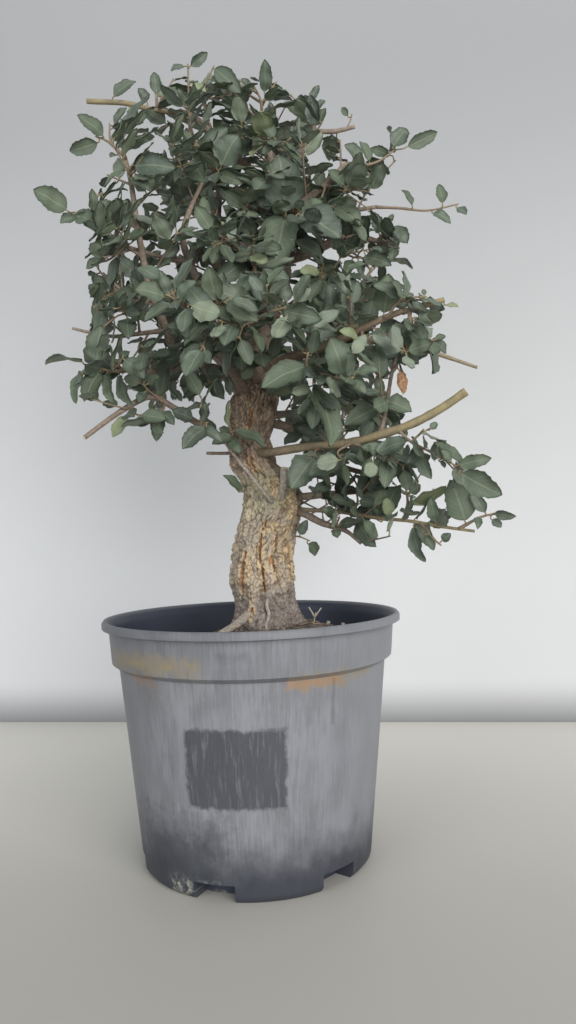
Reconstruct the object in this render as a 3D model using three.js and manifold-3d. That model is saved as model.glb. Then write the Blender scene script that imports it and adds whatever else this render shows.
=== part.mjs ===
// A cork oak bonsai in a round nursery pot: pot, soil, woody trunk with its limbs, and leafy shoots.
// Millimetres, +Z up. The origin is the centre of the pot's flat underside; -Y is the front.
import * as THREE from 'three';
import Module from 'manifold-3d';
import { mergeVertices } from 'three/addons/utils/BufferGeometryUtils.js';

const wasm = await Module();
wasm.setup();

// Driving dimensions
const RIM_RADIUS = 130;
const POT_HEIGHT = 208;
const BASE_RADIUS = 99;
const POT_SIDES = 26;
const FLOOR_THICKNESS = 2.4;
const NOTCH_COUNT = 6;
const NOTCH_HEIGHT = 14;
const NOTCH_HALF_ANGLE = 9.7;
const NOTCH_FIRST_ANGLE = 39.6;
const NOTCH_INNER_RADIUS = 82;
const NOTCH_WALL = 2;
const CASING_HALF_ANGLE = NOTCH_HALF_ANGLE + 1.3;
const DRAIN_RADIUS = 4.5;
const DRAIN_PLACE_RADIUS = BASE_RADIUS - 10;
const DRAIN_SIDES = 8;
const CLEARANCE = 0.35;
const CUT_MARGIN = 2;
const BLADE_THICKNESS = 0.6;
const STALK_HALF_WIDTH = 0.6;
const TREE_AXIS = new THREE.Vector3(20, 5, 460);

// Profile of the pot's outside, from the floor's centre to the lip: [radius, height]
const POT_OUTSIDE = [
  [0, 0], [BASE_RADIUS - 3, 0], [BASE_RADIUS, 3.5], [116, 168.5], [121.8, 172.5], [124.2, 200.5],
  [RIM_RADIUS, 201.8], [RIM_RADIUS, 206], [128.5, POT_HEIGHT], [0, POT_HEIGHT],
];
// Profile of the hollow inside it
const POT_INSIDE = [
  [0, FLOOR_THICKNESS], [BASE_RADIUS - 4, FLOOR_THICKNESS], [113.6, 168.5], [119.4, 173.5], [121.8, 202],
  [126.2, POT_HEIGHT + 1], [0, POT_HEIGHT + 1],
];

// The soil: low at the wall, mounded beside the trunk
const SOIL_EDGE_LEVEL = 166;
const SOIL_MOUND_HEIGHT = 31;
const SOIL_MOUND_CENTRE = [26, -5];
const SOIL_MOUND_SPREAD = 85;
const SOIL_RINGS = [94, 68, 44];

// The trunk: [height, centre x, centre y, radius], from its buried end to the fork
const TRUNK_SECTIONS = [
  [152, 13, 1, 21], [188, 13, 1, 26.2], [201, 13, 0, 27.6], [209, 12.6, 0, 26.6], [220, 12, 0, 25.4],
  [236, 10.4, 0, 26.2], [256, 11.6, 0, 25.4], [278, 14.5, 0, 24.6], [301, 20, -1, 25.2], [317, 20.2, 0, 24],
  [328, 15, 0, 21.8], [340, 6, 0, 19.8], [364, 2.6, 0, 16], [384, 6, 0, 19.6], [401, 8, 0, 19.2],
  [409, 8.6, 1, 15],
];
const TRUNK_SIDES = 18;
const BURIED_SECTIONS = 2;
const RIDGE_DEPTH = 0.055;
const ROOT_SIDES = 5;
const THIN_LIMB = 2.4;
const THICK_LIMB = 4.9;

// Root collars and roots at the soil: [start radius, end radius, path]
const ROOTS = {
  left_root: [5.5, 2.6, [[4, -14, 214], [-14, -32, 203], [-30, -50, 195], [-46, -68, 186],
    [-58, -78, 178]]],
  front_root: [3.4, 2.2, [[14, -22, 222], [13, -29, 208], [13, -32, 198], [15, -40, 190]]],
};

// Limbs and larger twigs: [start radius, end radius, path]
const LIMBS = {
  leader: [13, 2.2, [[7, 0, 400], [16, 8, 445], [27, 14, 493], [38, 10, 527], [39, 6, 559],
    [32, 4, 605], [22, 2, 641], [22, 0, 661]]],
  left_low: [6.5, 2.4, [[0, -4, 398], [-15, -16, 417], [-36, -30, 422], [-56, -46, 420],
    [-75, -62, 413], [-93, -74, 411]]],
  left_inner: [6, 1.6, [[4, -6, 411], [-10, -24, 447], [-24, -40, 475], [-36, -48, 489],
    [-43, -52, 505], [-48, -54, 523], [-43, -56, 544], [-30, -54, 573]]],
  centre_left: [6, 1.8, [[16, 8, 444], [-7, 0, 475], [-22, -12, 511], [-21, -18, 550],
    [-18, -24, 580], [-22, -32, 592], [-31, -36, 603], [-41, -40, 616]]],
  top_left: [5, 2.2, [[34, 4, 591], [5, -6, 609], [-21, -14, 631], [-36, -24, 641], [-50, -30, 645]]],
  left_stem: [4, 1.8, [[-56, -46, 420], [-63, -58, 447], [-74, -68, 475], [-79, -74, 503],
    [-83, -78, 534], [-86, -80, 561], [-90, -82, 579]]],
  left_bare: [3.6, 1.8, [[0, -6, 354], [-13, -16, 357], [-28, -30, 366], [-47, -46, 376],
    [-66, -58, 388], [-78, -66, 391], [-99, -80, 377], [-124, -92, 356]]],
  left_twig: [2.2, 1.1, [[-63, -58, 447], [-84, -64, 443], [-103, -68, 440], [-119, -70, 442],
    [-136, -72, 446]]],
  left_mid: [2.6, 1.0, [[-74, -68, 475], [-80, -70, 466], [-97, -74, 476], [-110, -78, 488]]],
  left_span: [2.6, 1.2, [[-43, -52, 505], [-60, -58, 506], [-76, -66, 508], [-89, -74, 510]]],
  front_left: [5, 2.4, [[0, -8, 404], [-11, -40, 417], [-23, -74, 429], [-31, -96, 438]]],
  front_centre: [4.5, 2.0, [[10, -12, 414], [1, -50, 430], [-2, -84, 437], [9, -108, 439]]],
  front_right: [5, 3, [[15, -8, 408], [26, -30, 410], [37, -56, 409]]],
  right_front: [5.5, 2.3, [[15, 2, 424], [39, -24, 430], [63, -54, 431], [85, -74, 436],
    [103, -90, 442], [124, -100, 448]]],
  cut_branch: [3.8, 3.3, [[4, -8, 350], [21, -30, 348], [49, -54, 349], [82, -78, 349],
    [104, -92, 353], [126, -102, 359], [147, -110, 369], [166, -116, 381]]],
  right_stem: [2.0, 1.3, [[104, -92, 353], [109, -94, 373], [113, -96, 396], [118, -98, 416]]],
  right_bare: [3.2, 1.2, [[85, -74, 436], [108, -80, 429], [131, -86, 423], [153, -92, 415],
    [181, -98, 403]]],
  right_upper: [5, 2.0, [[39, 6, 559], [44, -24, 558], [53, -44, 558], [72, -54, 569], [89, -60, 584]]],
  right_mid: [5, 2.0, [[38, 10, 527], [64, 6, 534], [88, 0, 543], [109, -4, 543], [132, -8, 535]]],
  right_level: [4, 1.6, [[36, 8, 546], [65, 6, 558], [90, 0, 567], [122, -4, 571]]],
  right_top: [3.6, 1.7, [[31, 4, 611], [48, -4, 616], [60, -10, 624], [67, -14, 634], [85, -18, 633],
    [103, -22, 635]]],
  twig_front: [2.8, 1.8, [[31, 12, 506], [19, -14, 507], [9, -36, 509]]],
  right_low: [4.0, 1.6, [[21, 2, 311], [45, -10, 310], [84, -24, 312], [127, -40, 314]]],
  right_dark: [4.4, 1.5, [[19, 2, 301], [45, -12, 296], [63, -26, 286], [81, -38, 279], [93, -46, 268]]],
  inner_right: [4.5, 1.8, [[9, 2, 381], [47, -8, 368], [63, -22, 345], [83, -32, 333], [113, -44, 323]]],
  dead_twig: [1.8, 1.2, [[24, -20, 300], [15, -34, 311], [2, -38, 328], [-13, -38, 348], [-21, -38, 361]]],
  cut_stub: [3.8, 3.2, [[26, -18, 302], [30, -28, 318], [31, -33, 334]]],
  side_stub: [1.6, 1.4, [[-6, -10, 351], [-17, -20, 349], [-35, -24, 349]]],
  top_stub: [2.8, 2.4, [[38, 2, 555], [41, -16, 564], [46, -26, 573]]],
  // The far side, chosen to balance the near one
  back_left: [5, 2.2, [[2, 4, 402], [-20, 34, 438], [-48, 66, 474], [-72, 92, 508]]],
  back_right: [5.4, 2.2, [[14, 6, 406], [42, 36, 438], [76, 62, 476], [106, 84, 514]]],
  back_middle: [4.6, 2, [[28, 14, 497], [16, 50, 536], [2, 84, 572], [-8, 108, 604]]],
  back_low: [4.6, 2, [[12, 8, 386], [36, 44, 392], [64, 78, 402], [88, 108, 416]]],
  back_top: [3.4, 1.8, [[30, 5, 612], [32, 34, 640], [26, 58, 668]]],
};

// Leafy sprays: the start and end radius, the paths of the main shoot and of its side shoots, and the leaves,
// each as the two ends of its blade and the width that shows from the front
const SPRAYS = {
  top_tip: { radii: [1.5, 0.8],
    shoots: [[[-41, -40, 616], [-41, -40, 638], [-41, -41, 661], [-41, -42, 687]]],
    leaves: [[[-43, -42, 677], [-55, -46, 671], 8], [[-39, -42, 677], [-24, -46, 686], 6],
      [[-41, -42, 661], [-26, -50, 651], 8], [[-42, -42, 652], [-59, -50, 650], 8]] },
  top_left_stick: { radii: [2.1, 2.1],
    shoots: [[[-45, -28, 643], [-74, -40, 641], [-94, -47, 642], [-124, -55, 639]],
      [[-68, -38, 642], [-68, -44, 646], [-68, -50, 651]]],
    leaves: [[[-104, -50, 644], [-84, -52, 658], 12], [[-67, -44, 645], [-69, -48, 668], 10],
      [[-74, -42, 642], [-82, -50, 653], 11], [[-70, -48, 647], [-79, -42, 668], 8],
      [[-77, -42, 640], [-83, -46, 625], 8], [[-90, -47, 641], [-86, -52, 625], 8],
      [[-61, -38, 641], [-52, -40, 661], 10]] },
  top_hook: { radii: [1.4, 0.8],
    shoots: [[[-21, -14, 631], [-28, -22, 648], [-28, -30, 665], [-19, -36, 681]],
      [[-28, -26, 657], [-13, -24, 661], [1, -22, 664]]],
    leaves: [[[-19, -36, 680], [3, -42, 655], 14], [[-25, -34, 671], [-9, -40, 664], 9],
      [[-4, -23, 663], [-13, -14, 689], 8]] },
  top_centre: { radii: [1.8, 0.9],
    shoots: [[[22, 0, 655], [21, -8, 667], [15, -12, 678]],
      [[22, -4, 664], [28, -8, 674], [35, -10, 681]],
      [[21, -8, 665], [10, 6, 681], [0, 14, 697]]],
    leaves: [[[26, -8, 672], [25, -10, 693], 12], [[17, -12, 674], [4, -14, 680], 8],
      [[31, -8, 678], [41, -12, 672], 7]] },
  top_right_tuft: { radii: [1.6, 0.8],
    shoots: [[[67, -14, 634], [66, -18, 645], [61, -20, 660]]],
    leaves: [[[65, -18, 640], [42, -24, 661], 15], [[66, -18, 645], [54, -14, 671], 8],
      [[64, -20, 649], [77, -24, 658], 8], [[67, -16, 639], [78, -20, 653], 8],
      [[62, -20, 657], [72, -10, 670], 7]] },
  right_stub_leaf: { radii: [0.8, 0.6],
    shoots: [[[94, -19, 633], [99, -21, 640], [101, -24, 648]]],
    leaves: [[[101, -22, 640], [92, -20, 654], 5]] },
  right_crown: { radii: [1.6, 0.8],
    shoots: [[[89, -60, 584], [105, -56, 584], [119, -52, 590], [132, -50, 600]],
      [[101, -57, 583], [116, -46, 578], [138, -34, 601]]],
    leaves: [[[131, -50, 597], [142, -54, 616], 17], [[134, -50, 601], [131, -40, 628], 7],
      [[136, -50, 601], [170, -46, 611], 10], [[130, -38, 601], [113, -36, 608], 8],
      [[106, -56, 583], [88, -66, 597], 13], [[111, -54, 586], [103, -48, 609], 10]] },
  right_level_tip: { radii: [1.6, 1.1],
    shoots: [[[122, -4, 571], [144, -8, 568], [168, -12, 564], [195, -16, 568]]],
    leaves: [[[155, -10, 567], [146, -12, 584], 8], [[181, -14, 567], [177, -18, 585], 11],
      [[171, -12, 564], [187, -18, 551], 11], [[194, -16, 566], [200, -22, 556], 12]] },
  right_mid_tip: { radii: [1.5, 0.8],
    shoots: [[[121, -6, 539], [130, -10, 546], [132, -12, 554]],
      [[128, -8, 543], [140, -12, 532], [144, -10, 529]]],
    leaves: [[[128, -12, 550], [147, -20, 532], 18], [[131, -12, 553], [137, -10, 562], 6],
      [[138, -12, 534], [133, -16, 518], 11], [[130, -12, 547], [116, -22, 559], 12]] },
  right_inner: { radii: [1.5, 0.8],
    shoots: [[[88, 0, 543], [96, -14, 523], [112, -24, 517]]],
    leaves: [[[110, -24, 517], [124, -30, 525], 14], [[109, -24, 516], [127, -30, 506], 12],
      [[98, -16, 522], [90, -24, 502], 11], [[102, -20, 519], [104, -26, 501], 9]] },
  big_leaf_right: { radii: [1.5, 0.9],
    shoots: [[[107, -92, 444], [112, -100, 444], [117, -106, 451], [129, -110, 455], [142, -112, 455]]],
    leaves: [[[113, -102, 444], [111, -112, 473], 20], [[124, -108, 453], [124, -104, 478], 7],
      [[138, -112, 454], [138, -108, 462], 5], [[119, -106, 452], [98, -112, 462], 14]] },
  right_front_end: { radii: [2.4, 2.1],
    shoots: [[[123, -99, 447], [141, -108, 450], [155, -112, 453]],
      [[129, -102, 448], [127, -107, 439], [127, -110, 429]]],
    leaves: [[[153, -111, 452], [162, -118, 445], 5], [[127, -106, 443], [148, -112, 437], 17],
      [[127, -108, 437], [139, -112, 420], 11], [[127, -106, 440], [109, -112, 422], 11]] },
  right_bare_tuft: { radii: [1.4, 0.8],
    shoots: [[[131, -86, 423], [140, -92, 425], [150, -96, 426]]],
    leaves: [[[145, -94, 422], [162, -98, 419], 12], [[148, -96, 426], [159, -90, 430], 6],
      [[141, -92, 422], [143, -98, 396], 9], [[138, -92, 424], [133, -88, 442], 8]] },
  right_stem_tip: { radii: [1.2, 0.8],
    shoots: [[[118, -98, 416], [123, -102, 418], [125, -106, 410]],
      [[113, -96, 396], [121, -92, 386], [125, -100, 400]]],
    leaves: [[[122, -102, 417], [134, -108, 406], 11], [[119, -100, 417], [102, -104, 410], 11],
      [[124, -94, 392], [129, -98, 377], 9]] },
  cut_branch_tuft: { radii: [1.6, 0.9],
    shoots: [[[83, -80, 348], [97, -94, 342], [112, -104, 333]],
      [[74, -74, 348], [71, -84, 341], [76, -92, 332]]],
    leaves: [[[111, -104, 334], [87, -108, 343], 11], [[113, -104, 332], [103, -110, 311], 14],
      [[114, -104, 332], [134, -108, 316], 11], [[112, -104, 335], [122, -108, 346], 10],
      [[73, -84, 340], [100, -98, 322], 12], [[107, -100, 338], [96, -92, 319], 9]] },
  front_low_leaf: { radii: [1.2, 0.8],
    shoots: [[[61, -62, 349], [55, -74, 344], [52, -82, 339]]],
    leaves: [[[52, -82, 339], [33, -90, 313], 24], [[54, -78, 343], [66, -84, 329], 9]] },
  cut_branch_shoot: { radii: [1.4, 0.9],
    shoots: [[[117, -98, 356], [124, -106, 346], [139, -112, 336], [161, -118, 322]],
      [[126, -106, 345], [132, -108, 351], [140, -106, 355]]],
    leaves: [[[160, -118, 322], [148, -122, 343], 10], [[162, -118, 323], [178, -122, 329], 11],
      [[162, -118, 320], [188, -124, 302], 13], [[153, -116, 327], [144, -106, 337], 8],
      [[137, -106, 354], [145, -104, 359], 6], [[129, -110, 341], [136, -116, 316], 8],
      [[145, -114, 332], [151, -108, 325], 5]] },
  cut_branch_leaf: { radii: [1.0, 0.7],
    shoots: [[[109, -94, 373], [103, -100, 376], [106, -104, 381]]],
    leaves: [[[104, -102, 377], [126, -108, 369], 15], [[104, -101, 376], [85, -108, 384], 12],
      [[105, -103, 380], [100, -108, 396], 9]] },
  lower_right_branch: { radii: [2.1, 1.2],
    shoots: [[[19, 4, 306], [45, -12, 299], [78, -34, 295], [104, -52, 289], [131, -66, 285], [153, -76, 280],
      [180, -86, 275]],
      [[166, -82, 278], [184, -90, 287], [202, -96, 289]],
      [[138, -70, 283], [149, -78, 268], [158, -84, 260]],
      [[126, -64, 286], [128, -72, 300], [125, -78, 316]],
      [[87, -40, 293], [90, -54, 302], [88, -62, 310]]],
    leaves: [[[167, -84, 278], [159, -92, 316], 25], [[186, -91, 288], [174, -94, 308], 9],
      [[191, -93, 288], [204, -97, 286], 6], [[186, -91, 287], [196, -96, 278], 9],
      [[141, -72, 279], [148, -78, 261], 8], [[150, -79, 268], [159, -84, 274], 8],
      [[133, -68, 283], [138, -76, 252], 7], [[90, -44, 292], [102, -54, 265], 10],
      [[127, -75, 307], [137, -80, 314], 10], [[125, -78, 313], [119, -84, 332], 10],
      [[149, -76, 280], [144, -84, 303], 9], [[89, -58, 305], [104, -64, 299], 11],
      [[116, -58, 287], [111, -66, 305], 11], [[180, -88, 286], [176, -96, 278], 7]] },
  right_low_tuft: { radii: [1.4, 0.8],
    shoots: [[[96, -30, 312], [105, -42, 319], [110, -50, 329]],
      [[71, -20, 310], [63, -32, 323], [69, -40, 331]]],
    leaves: [[[109, -48, 326], [128, -54, 328], 12], [[65, -36, 326], [49, -44, 331], 10],
      [[103, -42, 318], [122, -50, 303], 12]] },
  right_dark_tuft: { radii: [1.3, 0.8],
    shoots: [[[69, -32, 282], [73, -44, 285], [75, -52, 291]]],
    leaves: [[[73, -46, 286], [90, -54, 286], 10], [[71, -40, 284], [73, -48, 273], 9],
      [[74, -50, 289], [60, -56, 298], 10]] },
  inner_right_tuft: { radii: [1.4, 0.8],
    shoots: [[[63, -22, 345], [75, -30, 352], [88, -36, 365]],
      [[75, -30, 352], [64, -34, 365], [61, -36, 377]]],
    leaves: [[[86, -36, 362], [101, -42, 376], 14], [[63, -35, 371], [46, -40, 380], 12]] },
  left_crown: { radii: [1.7, 1.0],
    shoots: [[[-90, -82, 579], [-102, -86, 589], [-111, -90, 591], [-129, -94, 595]],
      [[-89, -82, 576], [-95, -76, 587], [-103, -72, 599], [-104, -70, 615]]],
    leaves: [[[-105, -88, 589], [-122, -94, 604], 13], [[-107, -90, 589], [-133, -88, 583], 7],
      [[-103, -70, 616], [-89, -72, 624], 8], [[-92, -84, 579], [-100, -90, 575], 7],
      [[-90, -80, 585], [-69, -92, 587], 11]] },
  left_crown_leaves: { radii: [1.3, 0.8],
    shoots: [[[-86, -80, 560], [-86, -90, 562], [-82, -98, 565]]],
    leaves: [[[-85, -92, 563], [-105, -96, 551], 9], [[-83, -96, 564], [-49, -108, 558], 15],
      [[-85, -88, 561], [-69, -98, 545], 11]] },
  left_arm: { radii: [1.7, 0.9],
    shoots: [[[-80, -75, 515], [-97, -84, 522], [-112, -92, 526], [-127, -98, 528]],
      [[-110, -91, 526], [-115, -86, 540], [-107, -80, 553]]],
    leaves: [[[-125, -98, 528], [-153, -104, 544], 15], [[-109, -92, 526], [-102, -98, 538], 12],
      [[-114, -93, 526], [-112, -98, 544], 7], [[-123, -96, 527], [-136, -104, 518], 10],
      [[-104, -90, 524], [-121, -98, 519], 9], [[-98, -84, 522], [-87, -92, 540], 15],
      [[-110, -82, 549], [-90, -76, 557], 6]] },
  left_upper_side: { radii: [1.4, 0.8],
    shoots: [[[-79, -74, 503], [-92, -84, 506], [-106, -90, 507]],
      [[-92, -84, 506], [-101, -86, 497], [-108, -88, 493]]],
    leaves: [[[-96, -86, 505], [-121, -92, 496], 8], [[-105, -88, 495], [-120, -92, 487], 9],
      [[-90, -84, 505], [-103, -92, 512], 9]] },
  left_mid_tip: { radii: [1.3, 0.7],
    shoots: [[[-97, -74, 476], [-105, -84, 468], [-112, -90, 463]],
      [[-109, -78, 486], [-115, -72, 494], [-117, -66, 504]]],
    leaves: [[[-102, -82, 470], [-120, -90, 456], 11], [[-107, -86, 465], [-120, -84, 477], 9],
      [[-112, -76, 491], [-120, -82, 485], 10], [[-99, -76, 475], [-86, -88, 463], 13]] },
  left_low_twig: { radii: [1.2, 0.7],
    shoots: [[[-84, -64, 443], [-85, -76, 454], [-96, -86, 452], [-107, -94, 441]]],
    leaves: [[[-100, -90, 448], [-105, -96, 455], 8], [[-94, -86, 452], [-84, -92, 463], 11],
      [[-92, -82, 453], [-89, -92, 432], 16]] },
  left_cluster: { radii: [1.8, 0.8],
    shoots: [[[-93, -74, 411], [-105, -84, 409], [-113, -90, 411], [-124, -96, 413]],
      [[-104, -83, 409], [-97, -92, 412], [-92, -98, 418]]],
    leaves: [[[-114, -91, 412], [-108, -98, 441], 19], [[-124, -96, 413], [-155, -92, 417], 6],
      [[-123, -95, 412], [-130, -102, 382], 11], [[-114, -91, 410], [-123, -98, 384], 15],
      [[-106, -86, 408], [-102, -94, 382], 10], [[-99, -90, 411], [-88, -100, 421], 15],
      [[-93, -97, 416], [-76, -102, 399], 14], [[-98, -80, 410], [-90, -88, 381], 9]] },
  left_bare_leaf: { radii: [1.1, 0.7],
    shoots: [[[-89, -72, 385], [-91, -78, 379], [-93, -82, 375]]],
    leaves: [[[-92, -81, 376], [-106, -86, 358], 11]] },
  left_bare_tuft: { radii: [1.3, 0.8],
    shoots: [[[-66, -58, 388], [-67, -66, 380], [-75, -72, 376]],
      [[-78, -66, 391], [-79, -74, 397], [-81, -78, 401]]],
    leaves: [[[-67, -66, 381], [-72, -72, 355], 12], [[-69, -68, 379], [-57, -76, 367], 10],
      [[-80, -76, 398], [-67, -82, 404], 11], [[-79, -74, 395], [-84, -82, 384], 9]] },
  left_bare_front: { radii: [1.4, 0.8],
    shoots: [[[-47, -46, 376], [-40, -56, 370], [-31, -62, 370]]],
    leaves: [[[-33, -61, 369], [-52, -68, 349], 16], [[-41, -54, 372], [-60, -60, 381], 13],
      [[-35, -60, 370], [-20, -68, 355], 11], [[-38, -58, 369], [-33, -62, 387], 9]] },
  trunk_front_tuft: { radii: [1.2, 0.7],
    shoots: [[[-6, -16, 357], [-11, -34, 360], [-14, -46, 365]]],
    leaves: [[[-12, -44, 364], [15, -52, 351], 13], [[-13, -42, 361], [-29, -48, 354], 11],
      [[-14, -46, 365], [-6, -56, 346], 9], [[-13, -46, 364], [-23, -52, 368], 10]] },
  trunk_left_tuft: { radii: [1.3, 0.9],
    shoots: [[[3, -4, 300], [-2, -16, 308], [-4, -20, 318]],
      [[-2, -16, 309], [-8, -22, 301], [-10, -24, 297]],
      [[-4, -19, 316], [-9, -22, 315], [-15, -24, 313]]],
    leaves: [[[-4, -20, 317], [-21, -24, 330], 10]] },
  trunk_right_tuft: { radii: [1.0, 0.7],
    shoots: [[[31, -2, 276], [43, -13, 275], [52, -20, 271]]],
    leaves: [[[50, -19, 272], [60, -22, 259], 12], [[44, -15, 275], [50, -22, 289], 9]] },
  front_left_tip: { radii: [2.0, 1.2],
    shoots: [[[-31, -96, 438], [-42, -116, 448], [-55, -132, 453]],
      [[-31, -96, 438], [-24, -110, 443], [-21, -118, 453]]],
    leaves: [[[-55, -132, 453], [-76, -138, 456], 17], [[-55, -132, 453], [-59, -136, 469], 9],
      [[-53, -130, 452], [-33, -140, 460], 11], [[-51, -128, 451], [-71, -134, 434], 12],
      [[-32, -100, 437], [-52, -108, 434], 9], [[-31, -98, 436], [-33, -112, 404], 20],
      [[-22, -118, 450], [-38, -128, 453], 10], [[-42, -116, 446], [-34, -130, 433], 9]] },
  front_centre_tip: { radii: [1.7, 1.0],
    shoots: [[[9, -108, 439], [18, -116, 443], [36, -124, 446]],
      [[9, -108, 439], [0, -116, 434], [-4, -120, 423]]],
    leaves: [[[11, -112, 440], [-23, -128, 461], 21], [[0, -118, 433], [-23, -124, 429], 13],
      [[25, -120, 445], [15, -126, 473], 7], [[30, -122, 446], [54, -132, 431], 12],
      [[29, -122, 446], [14, -134, 450], 9], [[-4, -120, 424], [-16, -126, 398], 10],
      [[35, -124, 446], [31, -128, 462], 10], [[15, -114, 440], [47, -126, 421], 11],
      [[3, -114, 434], [13, -128, 411], 9]] },
  front_right_tip: { radii: [2.6, 1.6],
    shoots: [[[36, -52, 409], [51, -90, 404], [74, -118, 393], [80, -130, 392]],
      [[51, -92, 403], [47, -102, 406], [48, -112, 414]],
      [[52, -94, 402], [52, -104, 393]]],
    leaves: [[[46, -104, 407], [12, -116, 388], 20], [[52, -104, 394], [65, -120, 344], 20],
      [[72, -122, 395], [63, -132, 420], 21], [[77, -128, 392], [97, -134, 395], 9],
      [[48, -112, 413], [18, -122, 426], 10], [[49, -112, 416], [55, -118, 431], 10],
      [[78, -130, 392], [88, -132, 379], 9]] },
  mid_front_tip: { radii: [1.8, 1.2],
    shoots: [[[10, -32, 508], [-1, -58, 511], [-8, -74, 513], [-23, -88, 516]],
      [[-1, -60, 510], [7, -74, 497], [11, -82, 486]]],
    leaves: [[[-14, -82, 513], [-23, -90, 491], 16], [[-7, -76, 513], [12, -84, 512], 8],
      [[11, -82, 487], [-2, -90, 466], 16], [[10, -80, 491], [15, -92, 463], 16],
      [[-21, -88, 515], [-35, -94, 502], 11], [[3, -68, 502], [-21, -84, 478], 14]] },
  big_front_leaf: { radii: [1.5, 0.9],
    shoots: [[[44, -24, 558], [38, -46, 549], [36, -60, 540]],
      [[53, -44, 558], [48, -58, 544], [45, -66, 537]]],
    leaves: [[[37, -62, 542], [33, -74, 585], 31], [[45, -66, 539], [80, -78, 514], 28],
      [[37, -60, 539], [26, -72, 492], 27], [[47, -60, 543], [67, -68, 549], 11],
      [[36, -58, 541], [14, -70, 523], 15]] },
  front_left_upper: { radii: [1.5, 0.9],
    shoots: [[[-22, -32, 592], [-19, -50, 582], [-17, -62, 579]],
      [[-31, -36, 603], [-36, -52, 593], [-40, -60, 582]]],
    leaves: [[[-17, -62, 579], [0, -70, 603], 28], [[-17, -62, 578], [2, -68, 566], 9],
      [[-36, -54, 592], [-8, -60, 615], 15], [[-39, -58, 586], [-52, -66, 563], 15],
      [[-40, -60, 582], [-28, -66, 559], 15]] },
  front_upper_mid: { radii: [1.4, 0.8],
    shoots: [[[33, 4, 576], [17, -24, 559], [4, -48, 553]],
      [[15, -26, 558], [20, -40, 564], [19, -48, 572]]],
    leaves: [[[5, -46, 554], [14, -54, 566], 13], [[4, -48, 552], [8, -56, 534], 16],
      [[6, -46, 554], [-15, -52, 565], 8], [[19, -48, 569], [0, -56, 574], 12]] },
  front_top: { radii: [1.5, 0.9],
    shoots: [[[22, 2, 641], [10, -24, 629], [2, -42, 625]],
      [[12, -20, 631], [25, -40, 614], [40, -50, 607]]],
    leaves: [[[4, -40, 624], [-29, -54, 597], 19], [[3, -42, 624], [15, -48, 627], 11],
      [[38, -50, 607], [19, -58, 594], 11], [[32, -46, 610], [20, -50, 624], 12],
      [[40, -50, 607], [54, -58, 591], 11]] },
  right_upper_tuft: { radii: [1.5, 0.8],
    shoots: [[[72, -54, 569], [85, -58, 562], [98, -60, 564]],
      [[60, -50, 561], [66, -54, 547], [80, -56, 548]]],
    leaves: [[[93, -60, 563], [106, -62, 570], 10], [[80, -56, 548], [98, -66, 528], 18],
      [[76, -56, 550], [90, -66, 552], 13], [[87, -58, 562], [73, -66, 575], 12]] },
  right_mid_front: { radii: [1.5, 0.8],
    shoots: [[[64, 6, 534], [68, -26, 513], [67, -50, 492]],
      [[67, -30, 510], [77, -50, 496], [85, -60, 489]]],
    leaves: [[[70, -34, 509], [44, -58, 520], 17], [[67, -50, 493], [55, -60, 470], 12],
      [[74, -46, 498], [86, -60, 477], 13], [[83, -58, 490], [102, -62, 500], 8],
      [[69, -44, 498], [48, -56, 494], 13], [[85, -60, 488], [96, -66, 470], 15]] },
  right_lower_front: { radii: [1.5, 0.8],
    shoots: [[[94, -82, 439], [92, -90, 426], [90, -94, 419]],
      [[82, -70, 435], [75, -80, 445], [68, -86, 450]]],
    leaves: [[[90, -94, 420], [78, -102, 405], 11], [[91, -94, 421], [106, -100, 407], 14],
      [[70, -86, 449], [82, -94, 456], 13], [[90, -92, 423], [74, -102, 433], 11],
      [[69, -86, 449], [55, -98, 425], 13]] },
};

// Sprays of the far side, whose side shoots and leaves are set by rule
const BACK_SPRAYS = {
  back_left_tip: { radii: [1.8, 1], sides: 3, leafCount: 11,
    path: [[-70, 90, 506], [-92, 112, 524], [-112, 124, 540]] },
  back_left_low: { radii: [1.8, 1], sides: 3, leafCount: 10,
    path: [[-34, 50, 456], [-62, 74, 440], [-92, 96, 424]] },
  back_left_high: { radii: [1.7, 1], sides: 3, leafCount: 10,
    path: [[-6, 106, 600], [-34, 112, 622], [-58, 104, 642]] },
  back_middle_tip: { radii: [1.8, 1], sides: 3, leafCount: 11,
    path: [[2, 84, 572], [10, 118, 566], [22, 142, 556]] },
  back_centre: { radii: [1.8, 1], sides: 3, leafCount: 10,
    path: [[16, 50, 536], [0, 96, 506], [-4, 136, 490]] },
  back_right_tip: { radii: [1.8, 1], sides: 3, leafCount: 11,
    path: [[104, 83, 512], [124, 98, 536], [140, 106, 560]] },
  back_right_low: { radii: [1.8, 1], sides: 3, leafCount: 10,
    path: [[76, 62, 476], [108, 84, 462], [136, 98, 450]] },
  back_low_tip: { radii: [1.8, 1], sides: 3, leafCount: 11,
    path: [[88, 108, 416], [104, 130, 408], [128, 140, 398]] },
  back_top_tip: { radii: [1.6, 0.9], sides: 3, leafCount: 10,
    path: [[26, 58, 668], [34, 84, 672], [60, 100, 666]] },
};

// A dead leaf that hangs on the right
const DRY_LEAF_STALK = [[114, -96, 402], [115, -102, 404], [117, -107, 401]];
const DRY_LEAF_BLADE = [[118, -107, 399], [121, -107, 382], 8];

// Arithmetic shared by everything that repeats: a seeded draw between 0 and 1 for a list of whole numbers
function draw(...keys) {
  let hash = 2166136261;
  for (const key of keys) {
    hash = Math.imul(hash ^ key, 16777619) >>> 0;
    hash = Math.imul(hash ^ (hash >>> 15), 2246822519) >>> 0;
    hash = (hash ^ (hash >>> 13)) >>> 0;
  }
  return hash / 4294967296;
}

const vector = (point) => new THREE.Vector3(...point);
const along = (start, direction, distance) => start.clone().addScaledVector(direction, distance);

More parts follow.
